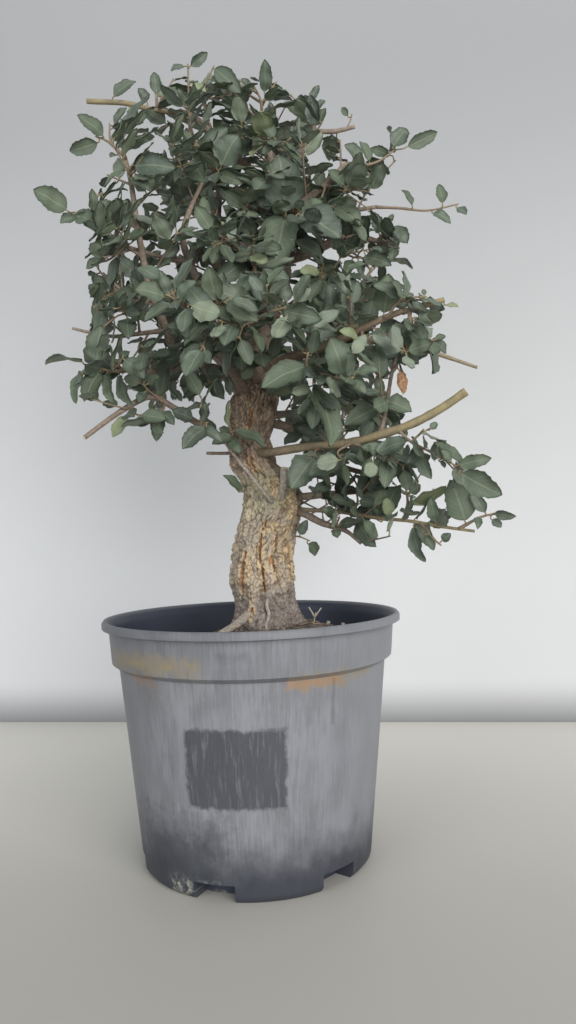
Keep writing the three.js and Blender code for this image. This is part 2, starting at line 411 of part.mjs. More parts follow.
// Closed solids from points and triangles
function solidFromFaces(points, faces) {
  const vertProperties = new Float32Array(points.length * 3);
  points.forEach((point, index) => point.toArray(vertProperties, index * 3));
  const triVerts = new Uint32Array(faces.flat());
  return new wasm.Manifold(new wasm.Mesh({ numProp: 3, vertProperties, triVerts }));
}

function solidFromGeometry(geometry) {
  const bare = geometry.clone();
  bare.deleteAttribute('normal');
  bare.deleteAttribute('uv');
  const merged = mergeVertices(bare, 1e-4);
  const vertProperties = new Float32Array(merged.attributes.position.array);
  const triVerts = new Uint32Array(merged.index.array);
  return new wasm.Manifold(new wasm.Mesh({ numProp: 3, vertProperties, triVerts }));
}

function meshFromSolid(name, solid, material) {
  const { vertProperties, triVerts } = solid.getMesh();
  const geometry = new THREE.BufferGeometry();
  geometry.setAttribute('position', new THREE.BufferAttribute(new Float32Array(vertProperties), 3));
  geometry.setIndex(new THREE.BufferAttribute(new Uint32Array(triVerts), 1));
  geometry.computeVertexNormals();
  const mesh = new THREE.Mesh(geometry, material);
  mesh.name = name;
  return mesh;
}

function largestBody(solid) {
  const bodies = solid.decompose();
  return bodies.reduce((best, body) => (body.volume() > best.volume() ? body : best), bodies[0]);
}

// Rings of points joined into a closed tube with flat ends
function loft(rings) {
  const sides = rings[0].length;
  const points = rings.flat();
  const faces = [];
  for (let ring = 0; ring < rings.length - 1; ring += 1) {
    for (let side = 0; side < sides; side += 1) {
      const here = ring * sides + side;
      const beside = ring * sides + (side + 1) % sides;
      faces.push([here, beside, beside + sides], [here, beside + sides, here + sides]);
    }
  }
  const last = (rings.length - 1) * sides;
  for (let side = 1; side < sides - 1; side += 1) {
    faces.push([0, side + 1, side], [last, last + side, last + side + 1]);
  }
  return solidFromFaces(points, faces);
}

// The rings of a tapering round branch along its path
function branchRings(points, startRadius, endRadius, sides) {
  let across = null;
  return points.map((point, index) => {
    const before = points[Math.max(index - 1, 0)];
    const after = points[Math.min(index + 1, points.length - 1)];
    const direction = after.clone().sub(before).normalize();
    if (across === null) {
      across = Math.abs(direction.z) > 0.8 ? new THREE.Vector3(1, 0, 0) : new THREE.Vector3(0, 0, 1);
    }
    across = across.clone().addScaledVector(direction, -across.dot(direction)).normalize();
    const up = direction.clone().cross(across);
    const radius = THREE.MathUtils.lerp(startRadius, endRadius, index / (points.length - 1));
    return Array.from({ length: sides }, (_, side) => {
      const angle = side * 2 * Math.PI / sides;
      return along(along(point, across, radius * Math.cos(angle)), up, radius * Math.sin(angle));
    });
  });
}

function branch(path, startRadius, endRadius, sides) {
  return loft(branchRings(path.map(vector), startRadius, endRadius, sides));
}

// Pot
function lathe(profile, sides) {
  const points = profile.map(([radius, height]) => new THREE.Vector2(radius, height));
  const geometry = new THREE.LatheGeometry(points, sides);
  geometry.rotateX(Math.PI / 2);
  return solidFromGeometry(geometry);
}

function ringSector(innerRadius, outerRadius, middle, halfAngle, low, high) {
  const shape = new THREE.Shape();
  const front = -Math.PI / 2 + THREE.MathUtils.degToRad(middle);
  const half = THREE.MathUtils.degToRad(halfAngle);
  shape.absarc(0, 0, outerRadius, front - half, front + half, false);
  shape.absarc(0, 0, innerRadius, front + half, front - half, true);
  const depth = high - low;
  const geometry = new THREE.ExtrudeGeometry(shape, { depth, bevelEnabled: false, curveSegments: 2 });
  geometry.translate(0, 0, low);
  return solidFromGeometry(geometry);
}

function drainHole(middle) {
  const geometry = new THREE.CylinderGeometry(DRAIN_RADIUS, DRAIN_RADIUS, 4 * NOTCH_WALL, DRAIN_SIDES);
  geometry.rotateX(Math.PI / 2);
  const angle = THREE.MathUtils.degToRad(middle);
  const height = NOTCH_HEIGHT + NOTCH_WALL / 2;
  geometry.translate(DRAIN_PLACE_RADIUS * Math.sin(angle), -DRAIN_PLACE_RADIUS * Math.cos(angle), height);
  return solidFromGeometry(geometry);
}

function makePot() {
  let hollow = lathe(POT_INSIDE, POT_SIDES);
  let outside = lathe(POT_OUTSIDE, POT_SIDES);
  let drains = null;
  for (let notch = 0; notch < NOTCH_COUNT; notch += 1) {
    const middle = NOTCH_FIRST_ANGLE + notch * 360 / NOTCH_COUNT;
    const low = -CUT_MARGIN;
    const cut = ringSector(NOTCH_INNER_RADIUS, RIM_RADIUS, middle, NOTCH_HALF_ANGLE, low, NOTCH_HEIGHT);
    const casing = NOTCH_INNER_RADIUS - NOTCH_WALL;
    const kept = ringSector(casing, RIM_RADIUS, middle, CASING_HALF_ANGLE, low, NOTCH_HEIGHT + NOTCH_WALL);
    outside = outside.subtract(cut);
    hollow = hollow.subtract(kept);
    drains = drains === null ? drainHole(middle) : drains.add(drainHole(middle));
  }
  return outside.subtract(hollow).subtract(drains);
}

// Trunk and limbs
// Two sets of ridges that wind opposite ways round the trunk
function ridgeAt(angle, height) {
  return Math.sin(angle * 7 + height * 0.05) + 0.7 * Math.sin(angle * 11 - height * 0.09 + 1.3);
}

function trunkRing([height, x, y, radius], index, extra = 0) {
  const buried = index < BURIED_SECTIONS;
  return Array.from({ length: TRUNK_SIDES }, (_, side) => {
    const angle = side * 2 * Math.PI / TRUNK_SIDES;
    const grown = buried ? radius : radius * (1 + RIDGE_DEPTH * ridgeAt(angle, height));
    return new THREE.Vector3(
      x + (grown + extra) * Math.cos(angle), y + (grown + extra) * Math.sin(angle), height);
  });
}

function limbSides(radius) {
  if (radius < THIN_LIMB) return 3;
  return radius > THICK_LIMB ? 5 : 4;
}

// How much wider a branch of flat sides is drawn so that its sides, too, lie that far out
function sideGrowth(extra, sides) {
  return extra / Math.cos(Math.PI / sides);
}

function makeWood(extra = 0) {
  let wood = loft(TRUNK_SECTIONS.map((section, index) => trunkRing(section, index, extra)));
  for (const [startRadius, endRadius, path] of Object.values(ROOTS)) {
    const growth = sideGrowth(extra, ROOT_SIDES);
    wood = wood.add(branch(path, startRadius + growth, endRadius + growth, ROOT_SIDES));
  }
  for (const [startRadius, endRadius, path] of Object.values(LIMBS)) {
    const sides = limbSides(startRadius);
    const growth = sideGrowth(extra, sides);
    wood = wood.add(branch(path, startRadius + growth, endRadius + growth, sides));
  }
  return wood;
}

// Soil
function potInsideRadius(height) {
  const [low, high] = [POT_INSIDE[1], POT_INSIDE[2]];
  return THREE.MathUtils.mapLinear(height, low[1], high[1], low[0], high[0]);
}

function soilLevel(x, y) {
  const distance = Math.hypot(x - SOIL_MOUND_CENTRE[0], y - SOIL_MOUND_CENTRE[1]);
  const mound = Math.exp(-((distance / SOIL_MOUND_SPREAD) ** 4));
  const inside = Math.max(1 - (Math.hypot(x, y) / potInsideRadius(SOIL_EDGE_LEVEL)) ** 6, 0);
  const ripple = 0.8 * Math.sin(x * 0.21) * Math.cos(y * 0.17);
  return SOIL_EDGE_LEVEL + (SOIL_MOUND_HEIGHT * mound + ripple) * inside;
}

function makeSoil(wood) {
  const bottom = FLOOR_THICKNESS + CLEARANCE;
  const shelf = NOTCH_HEIGHT + NOTCH_WALL + CLEARANCE;
  const inner = NOTCH_INNER_RADIUS - NOTCH_WALL - 3 * CLEARANCE;
  const wallGap = 1.5 * CLEARANCE;
  const points = [new THREE.Vector3(0, 0, bottom), new THREE.Vector3(0, 0, soilLevel(0, 0))];
  const faces = [];
  const rings = [];
  const addRing = (radius, height) => {
    rings.push(points.length);
    for (let side = 0; side < POT_SIDES; side += 1) {
      const angle = side * 2 * Math.PI / POT_SIDES - Math.PI / 2;
      const x = radius * Math.cos(angle);
      const y = radius * Math.sin(angle);
      points.push(new THREE.Vector3(x, y, height ?? soilLevel(x, y)));
    }
  };
  addRing(inner, bottom);
  addRing(inner, shelf);
  addRing(potInsideRadius(shelf) - wallGap, shelf);
  addRing(potInsideRadius(SOIL_EDGE_LEVEL) - wallGap, SOIL_EDGE_LEVEL);
  for (const radius of SOIL_RINGS) addRing(radius);
  for (let side = 0; side < POT_SIDES; side += 1) {
    const next = (side + 1) % POT_SIDES;
    faces.push([0, rings[0] + next, rings[0] + side]);
    for (let ring = 0; ring < rings.length - 1; ring += 1) {
      faces.push([rings[ring] + side, rings[ring] + next, rings[ring + 1] + next]);
      faces.push([rings[ring] + side, rings[ring + 1] + next, rings[ring + 1] + side]);
    }
    faces.push([1, rings.at(-1) + side, rings.at(-1) + next]);
  }
  return largestBody(solidFromFaces(points, faces).subtract(wood));
}

// Leaves
// Fractions along the blade and shares of its half width, from the stalk to just before the tip
const STALK_END = [0, 0];
const LARGE_BLADE = [STALK_END, [0.2, 0.82], [0.5, 1], [0.8, 0.66]];
const MIDDLE_BLADE = [STALK_END, [0.3, 0.96], [0.7, 0.84]];
const SMALL_BLADE = [[0.28, 0.94], [0.7, 0.84]];
const LARGE_BLADE_LENGTH = 38;
const MIDDLE_BLADE_LENGTH = 27;
const ARCH_SHARE = 0.1;
const WAVE_SHARE = 0.16;

function bladeOutline(length) {
  if (length > LARGE_BLADE_LENGTH) return LARGE_BLADE;
  return length > MIDDLE_BLADE_LENGTH ? MIDDLE_BLADE : SMALL_BLADE;
}

// The frame of a leaf: its axis, its face and its side
function leafFrame({ base, tip, facing, roll }) {
  const axis = tip.clone().sub(base).normalize();
  const flat = facing.clone().addScaledVector(axis, -facing.dot(axis)).normalize();
  const side = flat.clone().cross(axis);
  const face = flat.multiplyScalar(Math.cos(roll)).addScaledVector(side, Math.sin(roll));
  return { axis, face, side: face.clone().cross(axis) };
}

// One thin waved blade, split alike on both faces and open at its stalk end
function leafBlade(leaf, grow = 0) {
  const { base, tip, width, key } = leaf;
  const { face, side } = leafFrame(leaf);
  const length = base.distanceTo(tip);
  const half = BLADE_THICKNESS / 2 + grow;
  const edge = (fraction, share, hand) => {
    const middle = base.clone().lerp(tip, fraction);
    if (share === 0) return along(middle, side, hand * (STALK_HALF_WIDTH + grow));
    const step = Math.round(fraction * 10);
    const reach = share * width / 2 * (1 + WAVE_SHARE * (draw(key, step, 2 + hand) - 0.5)) + grow;
    const arch = length * ARCH_SHARE * Math.sin(Math.PI * fraction);
    const wave = WAVE_SHARE * width * (draw(key, step, 5 + hand) - 0.35);
    return along(along(middle, side, hand * reach), face, arch + wave);
  };
  const outline = bladeOutline(length);
  const left = outline.map(([fraction, share]) => edge(fraction, share, 1));
  const right = outline.map(([fraction, share]) => edge(fraction, share, -1));
  const rim = [...left, tip.clone(), ...right.reverse()];
  const count = rim.length;
  const points = [half, -half].flatMap((offset) => rim.map((point) => along(point, face, offset)));
  const faces = [];
  const addBoth = (a, b, c) => faces.push([a, b, c], [a + count, c + count, b + count]);
  for (let pair = 0; pair < outline.length - 1; pair += 1) {
    addBoth(count - 1 - pair, pair + 1, pair);
    addBoth(count - 1 - pair, count - 2 - pair, pair + 1);
  }
  addBoth(outline.length + 1, outline.length, outline.length - 1);
  for (let point = 0; point < count - 1; point += 1) {
    faces.push([point, point + 1, point + 1 + count], [point, point + 1 + count, point + count]);
  }
  return { points, faces, mouth: [count, 0, count - 1, 2 * count - 1] };
}

// Shoots
// A shoot is three-sided, or five-sided where it is thick. What grows from it is joined to an open
// triangle, its socket, on the side that faces the way it grows.
const THINNEST_SHOOT = 1.15;
const THICK_SHOOT = 1.9;
const SOCKET_LENGTH = 1.5;
const NODE_SPACING = 2.1;

function makeShoot(path, [startRadius, endRadius]) {
  const points = path.map(vector);
  const sides = startRadius > THICK_SHOOT ? 5 : 3;
  const start = Math.max(startRadius, THINNEST_SHOOT);
  const end = Math.max(endRadius, THINNEST_SHOOT);
  const stations = [0];
  points.slice(1).forEach((point, step) => stations.push(stations[step] + point.distanceTo(points[step])));
  const rings = branchRings(points, start, end, sides);
  return { points, stations, radii: [start, end], sides, rings, nodes: [] };
}

function shootSolid({ points, radii, sides }, grow) {
  return loft(branchRings(points, radii[0] + grow, radii[1] + grow, sides));
}

function segmentAt(shoot, distance) {
  let step = 0;
  while (step < shoot.stations.length - 2 && distance > shoot.stations[step + 1]) step += 1;
  const length = shoot.stations[step + 1] - shoot.stations[step];
  return { step, share: THREE.MathUtils.clamp((distance - shoot.stations[step]) / length, 0, 1) };
}

function pointAt(shoot, distance) {
  const { step, share } = segmentAt(shoot, distance);
  return shoot.points[step].clone().lerp(shoot.points[step + 1], share);
}

function directionAt(shoot, distance) {
  const { step } = segmentAt(shoot, distance);
  return shoot.points[step + 1].clone().sub(shoot.points[step]).normalize();
}

function ringAt(shoot, distance) {
  const { step, share } = segmentAt(shoot, distance);
  return shoot.rings[step].map((point, side) => point.clone().lerp(shoot.rings[step + 1][side], share));
}

// The free place nearest to the wanted one along the shoot
function freeNode(shoot, wanted) {
  const total = shoot.stations.at(-1);
  const taken = [...shoot.stations, ...shoot.nodes.map((node) => node.distance)];
  const isFree = (distance) => distance > 0 && distance < total - SOCKET_LENGTH
    && taken.every((other) => Math.abs(other - distance) >= NODE_SPACING - 1e-9);
  for (let shift = 0; shift < total; shift += 0.5) {
    if (isFree(wanted - shift)) return wanted - shift;
    if (isFree(wanted + shift)) return wanted + shift;
  }
  return null;
}

// The side of the shoot that looks most along a heading, and the middle of the socket there
function socketAt(shoot, distance, heading) {
  const centre = pointAt(shoot, distance);
  const ring = ringAt(shoot, distance);
  const middles = ring.map((point, side) => point.clone().lerp(ring[(side + 1) % shoot.sides], 0.5));
  const outwards = middles.map((middle) => middle.sub(centre));
  const looks = outwards.map((outward) => outward.clone().normalize().dot(heading));
  const side = looks.indexOf(Math.max(...looks));
  return { side, middle: centre.add(outwards[side]), normal: outwards[side].clone().normalize() };
}

// The shortest band of triangles between two loops that run the same way round
function bridge(lower, upper, points) {
  let best = { faces: [], cost: Infinity };
  const walk = (turned, low, high, faces, used, cost) => {
    const here = lower[low % lower.length];
    const there = turned[high % turned.length];
    const isWhole = low === lower.length && high === turned.length;
    if (isWhole && cost < best.cost) best = { faces, cost };
    if (isWhole || cost > best.cost || used.has(here + ':' + there)) return;
    const rung = points[here].distanceTo(points[there]);
    const nowUsed = new Set(used).add(here + ':' + there);
    if (low < lower.length) {
      const face = [here, lower[(low + 1) % lower.length], there];
      walk(turned, low + 1, high, [...faces, face], nowUsed, cost + rung);
    }
    if (high < turned.length) {
      const face = [here, turned[(high + 1) % turned.length], there];
      walk(turned, low, high + 1, [...faces, face], nowUsed, cost + rung);
    }
  };
  upper.forEach((_, turn) => walk([...upper.slice(turn), ...upper.slice(0, turn)], 0, 0, [], new Set(), 0));
  return best.faces;
}

// The corners of a socket: two on a ring of the shoot and one ahead of it
function socketCorners(shoot, distance, side) {
  const ring = ringAt(shoot, distance);
  const ahead = ringAt(shoot, distance + SOCKET_LENGTH);
  const next = (side + 1) % shoot.sides;
  return [ring[side], ring[next], ahead[side].clone().lerp(ahead[next], 0.5)];
}

// One leaf with its stalk as a closed solid, for testing what it would touch
function leafSolid({ shoot, distance, side, leaf }, grow) {
  const blade = leafBlade(leaf, grow);
  const corners = socketCorners(shoot, distance, side);
  const centre = corners.reduce((sum, corner) => sum.add(corner), new THREE.Vector3()).divideScalar(3);
  const spread = corners.map((corner) => centre.clone().lerp(corner, 1 + grow / STALK_HALF_WIDTH));
  const count = blade.points.length;
  const points = [...blade.points, ...spread];
  const band = bridge([count, count + 1, count + 2], blade.mouth, points);
  return solidFromFaces(points, [...blade.faces, ...band, [count, count + 2, count + 1]]);
}

// The closed skin of a main shoot with its side shoots and leaves, as points and faces
function sprayFaces(main) {
  const points = [];
  const faces = [];
  const addPoints = (added) => added.map((point) => points.push(point) - 1);
  const addCap = (ring) => {
    for (let side = 1; side < ring.length - 1; side += 1) faces.push([ring[0], ring[side], ring[side + 1]]);
  };
  const addLeaf = (leaf, mouth) => {
    const blade = leafBlade(leaf);
    const numbers = addPoints(blade.points);
    faces.push(...blade.faces.map((face) => face.map((point) => numbers[point])));
    faces.push(...bridge(mouth, blade.mouth.map((point) => numbers[point]), points));
  };
  const addShoot = (shoot, mouth) => {
    const { sides, stations, nodes } = shoot;
    const places = [...stations, ...nodes.map((node) => node.distance)].sort((a, b) => a - b);
    const rings = places.map((distance) => addPoints(ringAt(shoot, distance)));
    if (mouth === null) addCap([...rings[0]].reverse());
    else faces.push(...bridge(mouth, rings[0], points));
    for (let ring = 0; ring < rings.length - 1; ring += 1) {
      const node = nodes.find(({ distance }) => distance === places[ring]);
      for (let side = 0; side < sides; side += 1) {
        const next = (side + 1) % sides;
        const [a, b] = [rings[ring][side], rings[ring][next]];
        const [c, d] = [rings[ring + 1][next], rings[ring + 1][side]];
        if (node === undefined || node.side !== side) {
          faces.push([a, b, c], [a, c, d]);
          continue;
        }
        const [peak] = addPoints([socketCorners(shoot, node.distance, side)[2]]);
        faces.push([b, c, peak], [c, d, peak], [d, a, peak]);
        if (node.shoot !== undefined) addShoot(node.shoot, [a, b, peak]);
        else addLeaf(node.leaf, [a, b, peak]);
      }
    }
    addCap(rings.at(-1));
  };
  addShoot(main, null);
  return { points, faces };
}

function spraySkin(main) {
  const { points, faces } = sprayFaces(main);
  return solidFromFaces(points, faces);
}

// Whether an edge runs through a triangle
const probe = new THREE.Ray();
const crossing = new THREE.Vector3();

function runsThrough(start, end, [a, b, c]) {
  const length = start.distanceTo(end);
  probe.origin.copy(start);
  probe.direction.copy(end).sub(start).divideScalar(length);
  const hit = probe.intersectTriangle(a, b, c, false, crossing);
  return hit !== null && start.distanceTo(hit) <= length;
}

// Whether the skin runs through itself anywhere
function crossesItself(main) {
  const { points, faces } = sprayFaces(main);
  const triangles = faces.map((face) => face.map((point) => points[point]));
  const boxes = triangles.map((triangle) => new THREE.Box3().setFromPoints(triangle));
  return faces.some((face, first) => {
    for (let second = first + 1; second < faces.length; second += 1) {
      if (!boxes[first].intersectsBox(boxes[second])) continue;
      if (faces[second].some((point) => face.includes(point))) continue;
      const [one, other] = [triangles[first], triangles[second]];
      for (let edge = 0; edge < 3; edge += 1) {
        const next = (edge + 1) % 3;
        if (runsThrough(one[edge], one[next], other)) return true;
        if (runsThrough(other[edge], other[next], one)) return true;
      }
    }
    return false;
  });
}

// The place on a shoot that lies nearest to a point
function nearestDistance(shoot, point) {
  let best = { gap: Infinity, distance: 0 };
  shoot.points.slice(1).forEach((end, step) => {
    const segment = new THREE.Line3(shoot.points[step], end);
    const foot = segment.closestPointToPoint(point, true, new THREE.Vector3());
    const gap = foot.distanceTo(point);
    if (gap < best.gap) best = { gap, distance: shoot.stations[step] + foot.distanceTo(shoot.points[step]) };
  });
  return best;
}

const LEAF_LIFT = 0.35;
// Moves that are tried in turn where a shoot or leaf would touch another: in depth, and along the shoot
const DEPTH_SHIFTS = [0, -5, 5, -10, 10, -16, 16];
const NODE_STRIDES = [0, -4, 4, -9];
const PLACED_ATTEMPTS = DEPTH_SHIFTS.length * NODE_STRIDES.length;
const SHORTEST_STALK = 3;
const STALK_SLANT = 0.6;
const NARROWEST_SHARE = 0.5;
const WIDEST_SHARE = 0.85;
const FIRST_NODE = 5;

// A leaf given by the two ends of its blade and the width that shows from the front
function placedLeaf(shoots, [base, tip, shownWidth], key, attempt) {
  const start = vector(base);
  const end = vector(tip);
  end.y += DEPTH_SHIFTS[attempt % DEPTH_SHIFTS.length];
  const reaches = shoots.map((shoot) => nearestDistance(shoot, start));
  const nearest = reaches.reduce((best, reach) => (reach.gap < best.gap ? reach : best));
  const shoot = shoots[reaches.indexOf(nearest)];
  const stride = NODE_STRIDES[Math.floor(attempt / DEPTH_SHIFTS.length)];
  const first = Math.min(FIRST_NODE, shoot.stations.at(-1) / 2);
  const distance = freeNode(shoot, Math.max(nearestDistance(shoot, start).distance + stride, first));
  if (distance === null) return null;
  const heading = end.clone().sub(pointAt(shoot, distance)).normalize();
  const { side, middle, normal } = socketAt(shoot, distance, heading);
  if (start.clone().sub(middle).dot(normal) < SHORTEST_STALK * 0.5) {
    const reach = SHORTEST_STALK * STALK_SLANT;
    start.copy(along(along(middle, heading, reach), normal, reach));
  }
  const length = start.distanceTo(end);
  const width = THREE.MathUtils.clamp(shownWidth, length * NARROWEST_SHARE, length * WIDEST_SHARE);
  const turn = Math.acos(Math.min(shownWidth / width, 1));
  const roll = draw(key, 90) < 0.5 ? -turn : turn;
  const leaf = { base: start, tip: end, width, key, roll, facing: new THREE.Vector3(0, -1, LEAF_LIFT) };
  return { shoot, distance, side, leaf };
}

// A leaf set by rule at a fraction of a shoot, turned by the golden angle from the one before
const GOLDEN_ANGLE = 2.39996;
const RULE_ATTEMPTS = 6;
const SHORTEST_RULE_LEAF = 20;
const RULE_LEAF_SPREAD = 12;
const SHRINK_PER_ATTEMPT = 0.06;

function outwardAt(point, rise) {
  return point.clone().sub(TREE_AXIS).setZ((point.z - TREE_AXIS.z) * rise).normalize();
}

function ruleLeaf(shoot, fraction, key, attempt) {
  const distance = freeNode(shoot, fraction * shoot.stations.at(-1));
  if (distance === null) return null;
  const point = pointAt(shoot, distance);
  const direction = directionAt(shoot, distance);
  const outward = outwardAt(point, 0.5);
  const reference = Math.abs(direction.z) > 0.8 ? new THREE.Vector3(1, 0, 0) : new THREE.Vector3(0, 0, 1);
  const across = reference.addScaledVector(direction, -reference.dot(direction)).normalize();
  const up = direction.clone().cross(across);
  const angle = key * GOLDEN_ANGLE + attempt * 1.1 + draw(key, 1);
  const heading = direction.clone().multiplyScalar(0.45 + 0.3 * draw(key, 2))
    .addScaledVector(across, Math.cos(angle)).addScaledVector(up, Math.sin(angle))
    .addScaledVector(outward, 0.45).normalize();
  const { side, middle, normal } = socketAt(shoot, distance, heading);
  const stalk = 2.5 + 3 * draw(key, 4);
  const base = along(along(middle, heading, stalk * STALK_SLANT), normal, stalk * STALK_SLANT);
  const length = (SHORTEST_RULE_LEAF + RULE_LEAF_SPREAD * draw(key, 3)) * (1 - SHRINK_PER_ATTEMPT * attempt);
  const facing = outward.clone().multiplyScalar(0.8)
    .add(new THREE.Vector3(0.5 * draw(key, 5) - 0.25, 0.5 * draw(key, 6) - 0.25, 0.75));
  const leaf = {
    base, tip: along(base, heading, length), width: length * (0.54 + 0.14 * draw(key, 7)),
    key, roll: 0.8 * draw(key, 8) - 0.4, facing,
  };
  return { shoot, distance, side, leaf };
}

// What has been placed so far, tested by real overlap
const LEAST_OVERLAP = 0.02;
const placed = [];

function overlaps(solid, isRival) {
  const box = solid.boundingBox();
  return placed.some((item) => isRival(item)
    && [0, 1, 2].every((axis) => item.box.min[axis] <= box.max[axis] && box.min[axis] <= item.box.max[axis])
    && item.solid.intersect(solid).volume() > LEAST_OVERLAP);
}

function keep(solid, spray, kind) {
  placed.push({ solid, spray, kind, box: solid.boundingBox() });
}

// Adds a node to a shoot unless the spray's skin would then run through itself
function addNode(main, shoot, node) {
  shoot.nodes.push(node);
  if (!crossesItself(main)) return true;
  shoot.nodes.pop();
  return false;
}

// A side shoot forks off beyond the limb that carries the main shoot
const FIRST_FORK = 0.35;
const FORK_AHEAD = 1.4;
const FORK_OUTWARD = 1.2;

function growShoot(spray, path, radii, parent = null) {
  for (const shift of DEPTH_SHIFTS) {
    const last = path.length - 1;
    const bent = path.map(([x, y, z], step) => [x, y + shift * step / last, z]);
    let fork = null;
    if (parent !== null) {
      const distance = freeNode(parent, Math.max(
        nearestDistance(parent, vector(bent[0])).distance, parent.stations.at(-1) * FIRST_FORK));
      if (distance === null) return null;
      const heading = vector(bent[1]).sub(pointAt(parent, distance)).normalize();
      const socket = socketAt(parent, distance, heading);
      bent[0] = along(along(socket.middle, heading, FORK_AHEAD), socket.normal, FORK_OUTWARD).toArray();
      fork = { distance, side: socket.side };
    }
    const shoot = makeShoot(bent, radii);
    const isClear = !overlaps(shootSolid(shoot, CLEARANCE * 2), (item) => item.spray !== spray);
    if (isClear && (parent === null || addNode(parent, parent, { ...fork, shoot }))) {
      keep(shootSolid(shoot, 0), spray, 'shoot');
      return shoot;
    }
  }
  return null;
}

// The dead leaf belongs to no spray
const NO_SPRAY = -1;
const trunkAndLimbs = makeWood();
const wideWood = makeWood(CLEARANCE);

// Grows the first leaf, of those that makeLeaf offers, that touches nothing
function growLeaf({ index, main }, makeLeaf, attempts) {
  for (let attempt = 0; attempt < attempts; attempt += 1) {
    const made = makeLeaf(attempt);
    if (made === null) continue;
    const wide = leafSolid(made, CLEARANCE);
    const isClear = wide.intersect(wideWood).isEmpty()
      && !overlaps(wide, (item) => item.spray !== index || item.kind === 'leaf');
    const { shoot, distance, side, leaf } = made;
    if (isClear && addNode(main, shoot, { distance, side, leaf })) {
      keep(leafSolid(made, 0), index, 'leaf');
      return;
    }
  }
}

// The dead leaf comes first, and the sprays grow clear of it
const dryStalk = makeShoot(DRY_LEAF_STALK, [THINNEST_SHOOT, THINNEST_SHOOT]);
const dryNode = placedLeaf([dryStalk], DRY_LEAF_BLADE, 1, 0);
dryStalk.nodes.push({ distance: dryNode.distance, side: dryNode.side, leaf: dryNode.leaf });
const dryLeaf = largestBody(spraySkin(dryStalk).subtract(wideWood));
keep(dryLeaf, NO_SPRAY, 'leaf');

// Side shoots of a far spray, set by rule along its main shoot
const SIDE_ATTEMPTS = 4;
const SHORTEST_SIDE_SHOOT = 34;
const SIDE_SHOOT_SPREAD = 18;

function ruleSideShoot(main, fraction, key, attempt) {
  const distance = fraction * main.stations.at(-1);
  const point = pointAt(main, distance);
  const angle = key * GOLDEN_ANGLE + attempt * 0.9;
  const sway = new THREE.Vector3(Math.cos(angle), 0.5 * Math.sin(angle), Math.sin(angle + 1));
  const heading = directionAt(main, distance).multiplyScalar(0.5)
    .addScaledVector(outwardAt(point, 0.4), 0.7).add(sway).normalize();
  const length = SHORTEST_SIDE_SHOOT + SIDE_SHOOT_SPREAD * draw(key, 3);
  const middle = along(point, heading, length * 0.5);
  const end = along(point, heading, length);
  return [point.toArray(), [middle.x, middle.y, middle.z + 2], [end.x, end.y, end.z + 5]];
}

// All shoots first, then the placed leaves, then those set by rule
const sprays = [];
for (const [name, { radii, shoots: [mainPath, ...sidePaths], leaves }] of Object.entries(SPRAYS)) {
  const index = sprays.length;
  const main = growShoot(index, mainPath, radii);
  const sides = sidePaths.map((path) => growShoot(index, path, [radii[1], radii[1]], main));
  sprays.push({ name, index, main, shoots: [main, ...sides].filter(Boolean), leaves, leafCount: 0 });
}
for (const [name, { path, radii, sides, leafCount }] of Object.entries(BACK_SPRAYS)) {
  const index = sprays.length;
  const main = growShoot(index, path, radii);
  const shoots = [main];
  for (let side = 0; side < sides; side += 1) {
    const key = (index + 1) * 100 + 60 + side;
    const fraction = 0.4 + 0.5 * side / Math.max(sides - 1, 1);
    let shoot = null;
    for (let attempt = 0; attempt < SIDE_ATTEMPTS && shoot === null; attempt += 1) {
      shoot = growShoot(index, ruleSideShoot(main, fraction, key, attempt), [radii[1], radii[1]], main);
    }
    if (shoot !== null) shoots.push(shoot);
  }
  sprays.push({ name, index, main, shoots, leaves: [], leafCount });
}
for (const spray of sprays) {
  spray.leaves.forEach((row, order) => {
    const key = (spray.index + 1) * 100 + order;
    growLeaf(spray, (attempt) => placedLeaf(spray.shoots, row, key, attempt), PLACED_ATTEMPTS);
  });
}
for (const spray of sprays) {
  for (let order = 0; order < spray.leafCount; order += 1) {
    const key = (spray.index + 1) * 100 + order;
    const shoot = spray.shoots[order % spray.shoots.length];
    const turn = Math.floor(order / spray.shoots.length);
    const turns = Math.ceil(spray.leafCount / spray.shoots.length);
    const fraction = 0.35 + 0.62 * (turn + 0.5 * draw(key, 9)) / turns;
    growLeaf(spray, (attempt) => ruleLeaf(shoot, fraction, key, attempt), RULE_ATTEMPTS);
  }
}

const POT_PLASTIC = new THREE.MeshStandardMaterial({ color: 0x6b6f76, roughness: 0.62, metalness: 0 });
const SOIL_BROWN = new THREE.MeshStandardMaterial({ color: 0x3a2c22, roughness: 0.95, metalness: 0 });
const CORK_BARK = new THREE.MeshStandardMaterial({ color: 0x9a8468, roughness: 0.9, metalness: 0 });
const LEAF_GREEN = new THREE.MeshStandardMaterial({ color: 0x4f6353, roughness: 0.6, metalness: 0 });
const DRY_LEAF = new THREE.MeshStandardMaterial({ color: 0x8a5f3c, roughness: 0.8, metalness: 0 });

const bonsai = new THREE.Group();
bonsai.add(meshFromSolid('pot', makePot(), POT_PLASTIC));
bonsai.add(meshFromSolid('soil', makeSoil(wideWood), SOIL_BROWN));
bonsai.add(meshFromSolid('trunk_and_limbs', trunkAndLimbs, CORK_BARK));
bonsai.add(meshFromSolid('dry_leaf', dryLeaf, DRY_LEAF));
for (const spray of sprays) {
  const solid = spraySkin(spray.main).subtract(wideWood);
  bonsai.add(meshFromSolid('spray_' + spray.name, largestBody(solid), LEAF_GREEN));
}

export default bonsai;
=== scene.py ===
import math

import bpy
import numpy as np
from bpy.props import FloatProperty, FloatVectorProperty, PointerProperty
from mathutils import Matrix, Vector


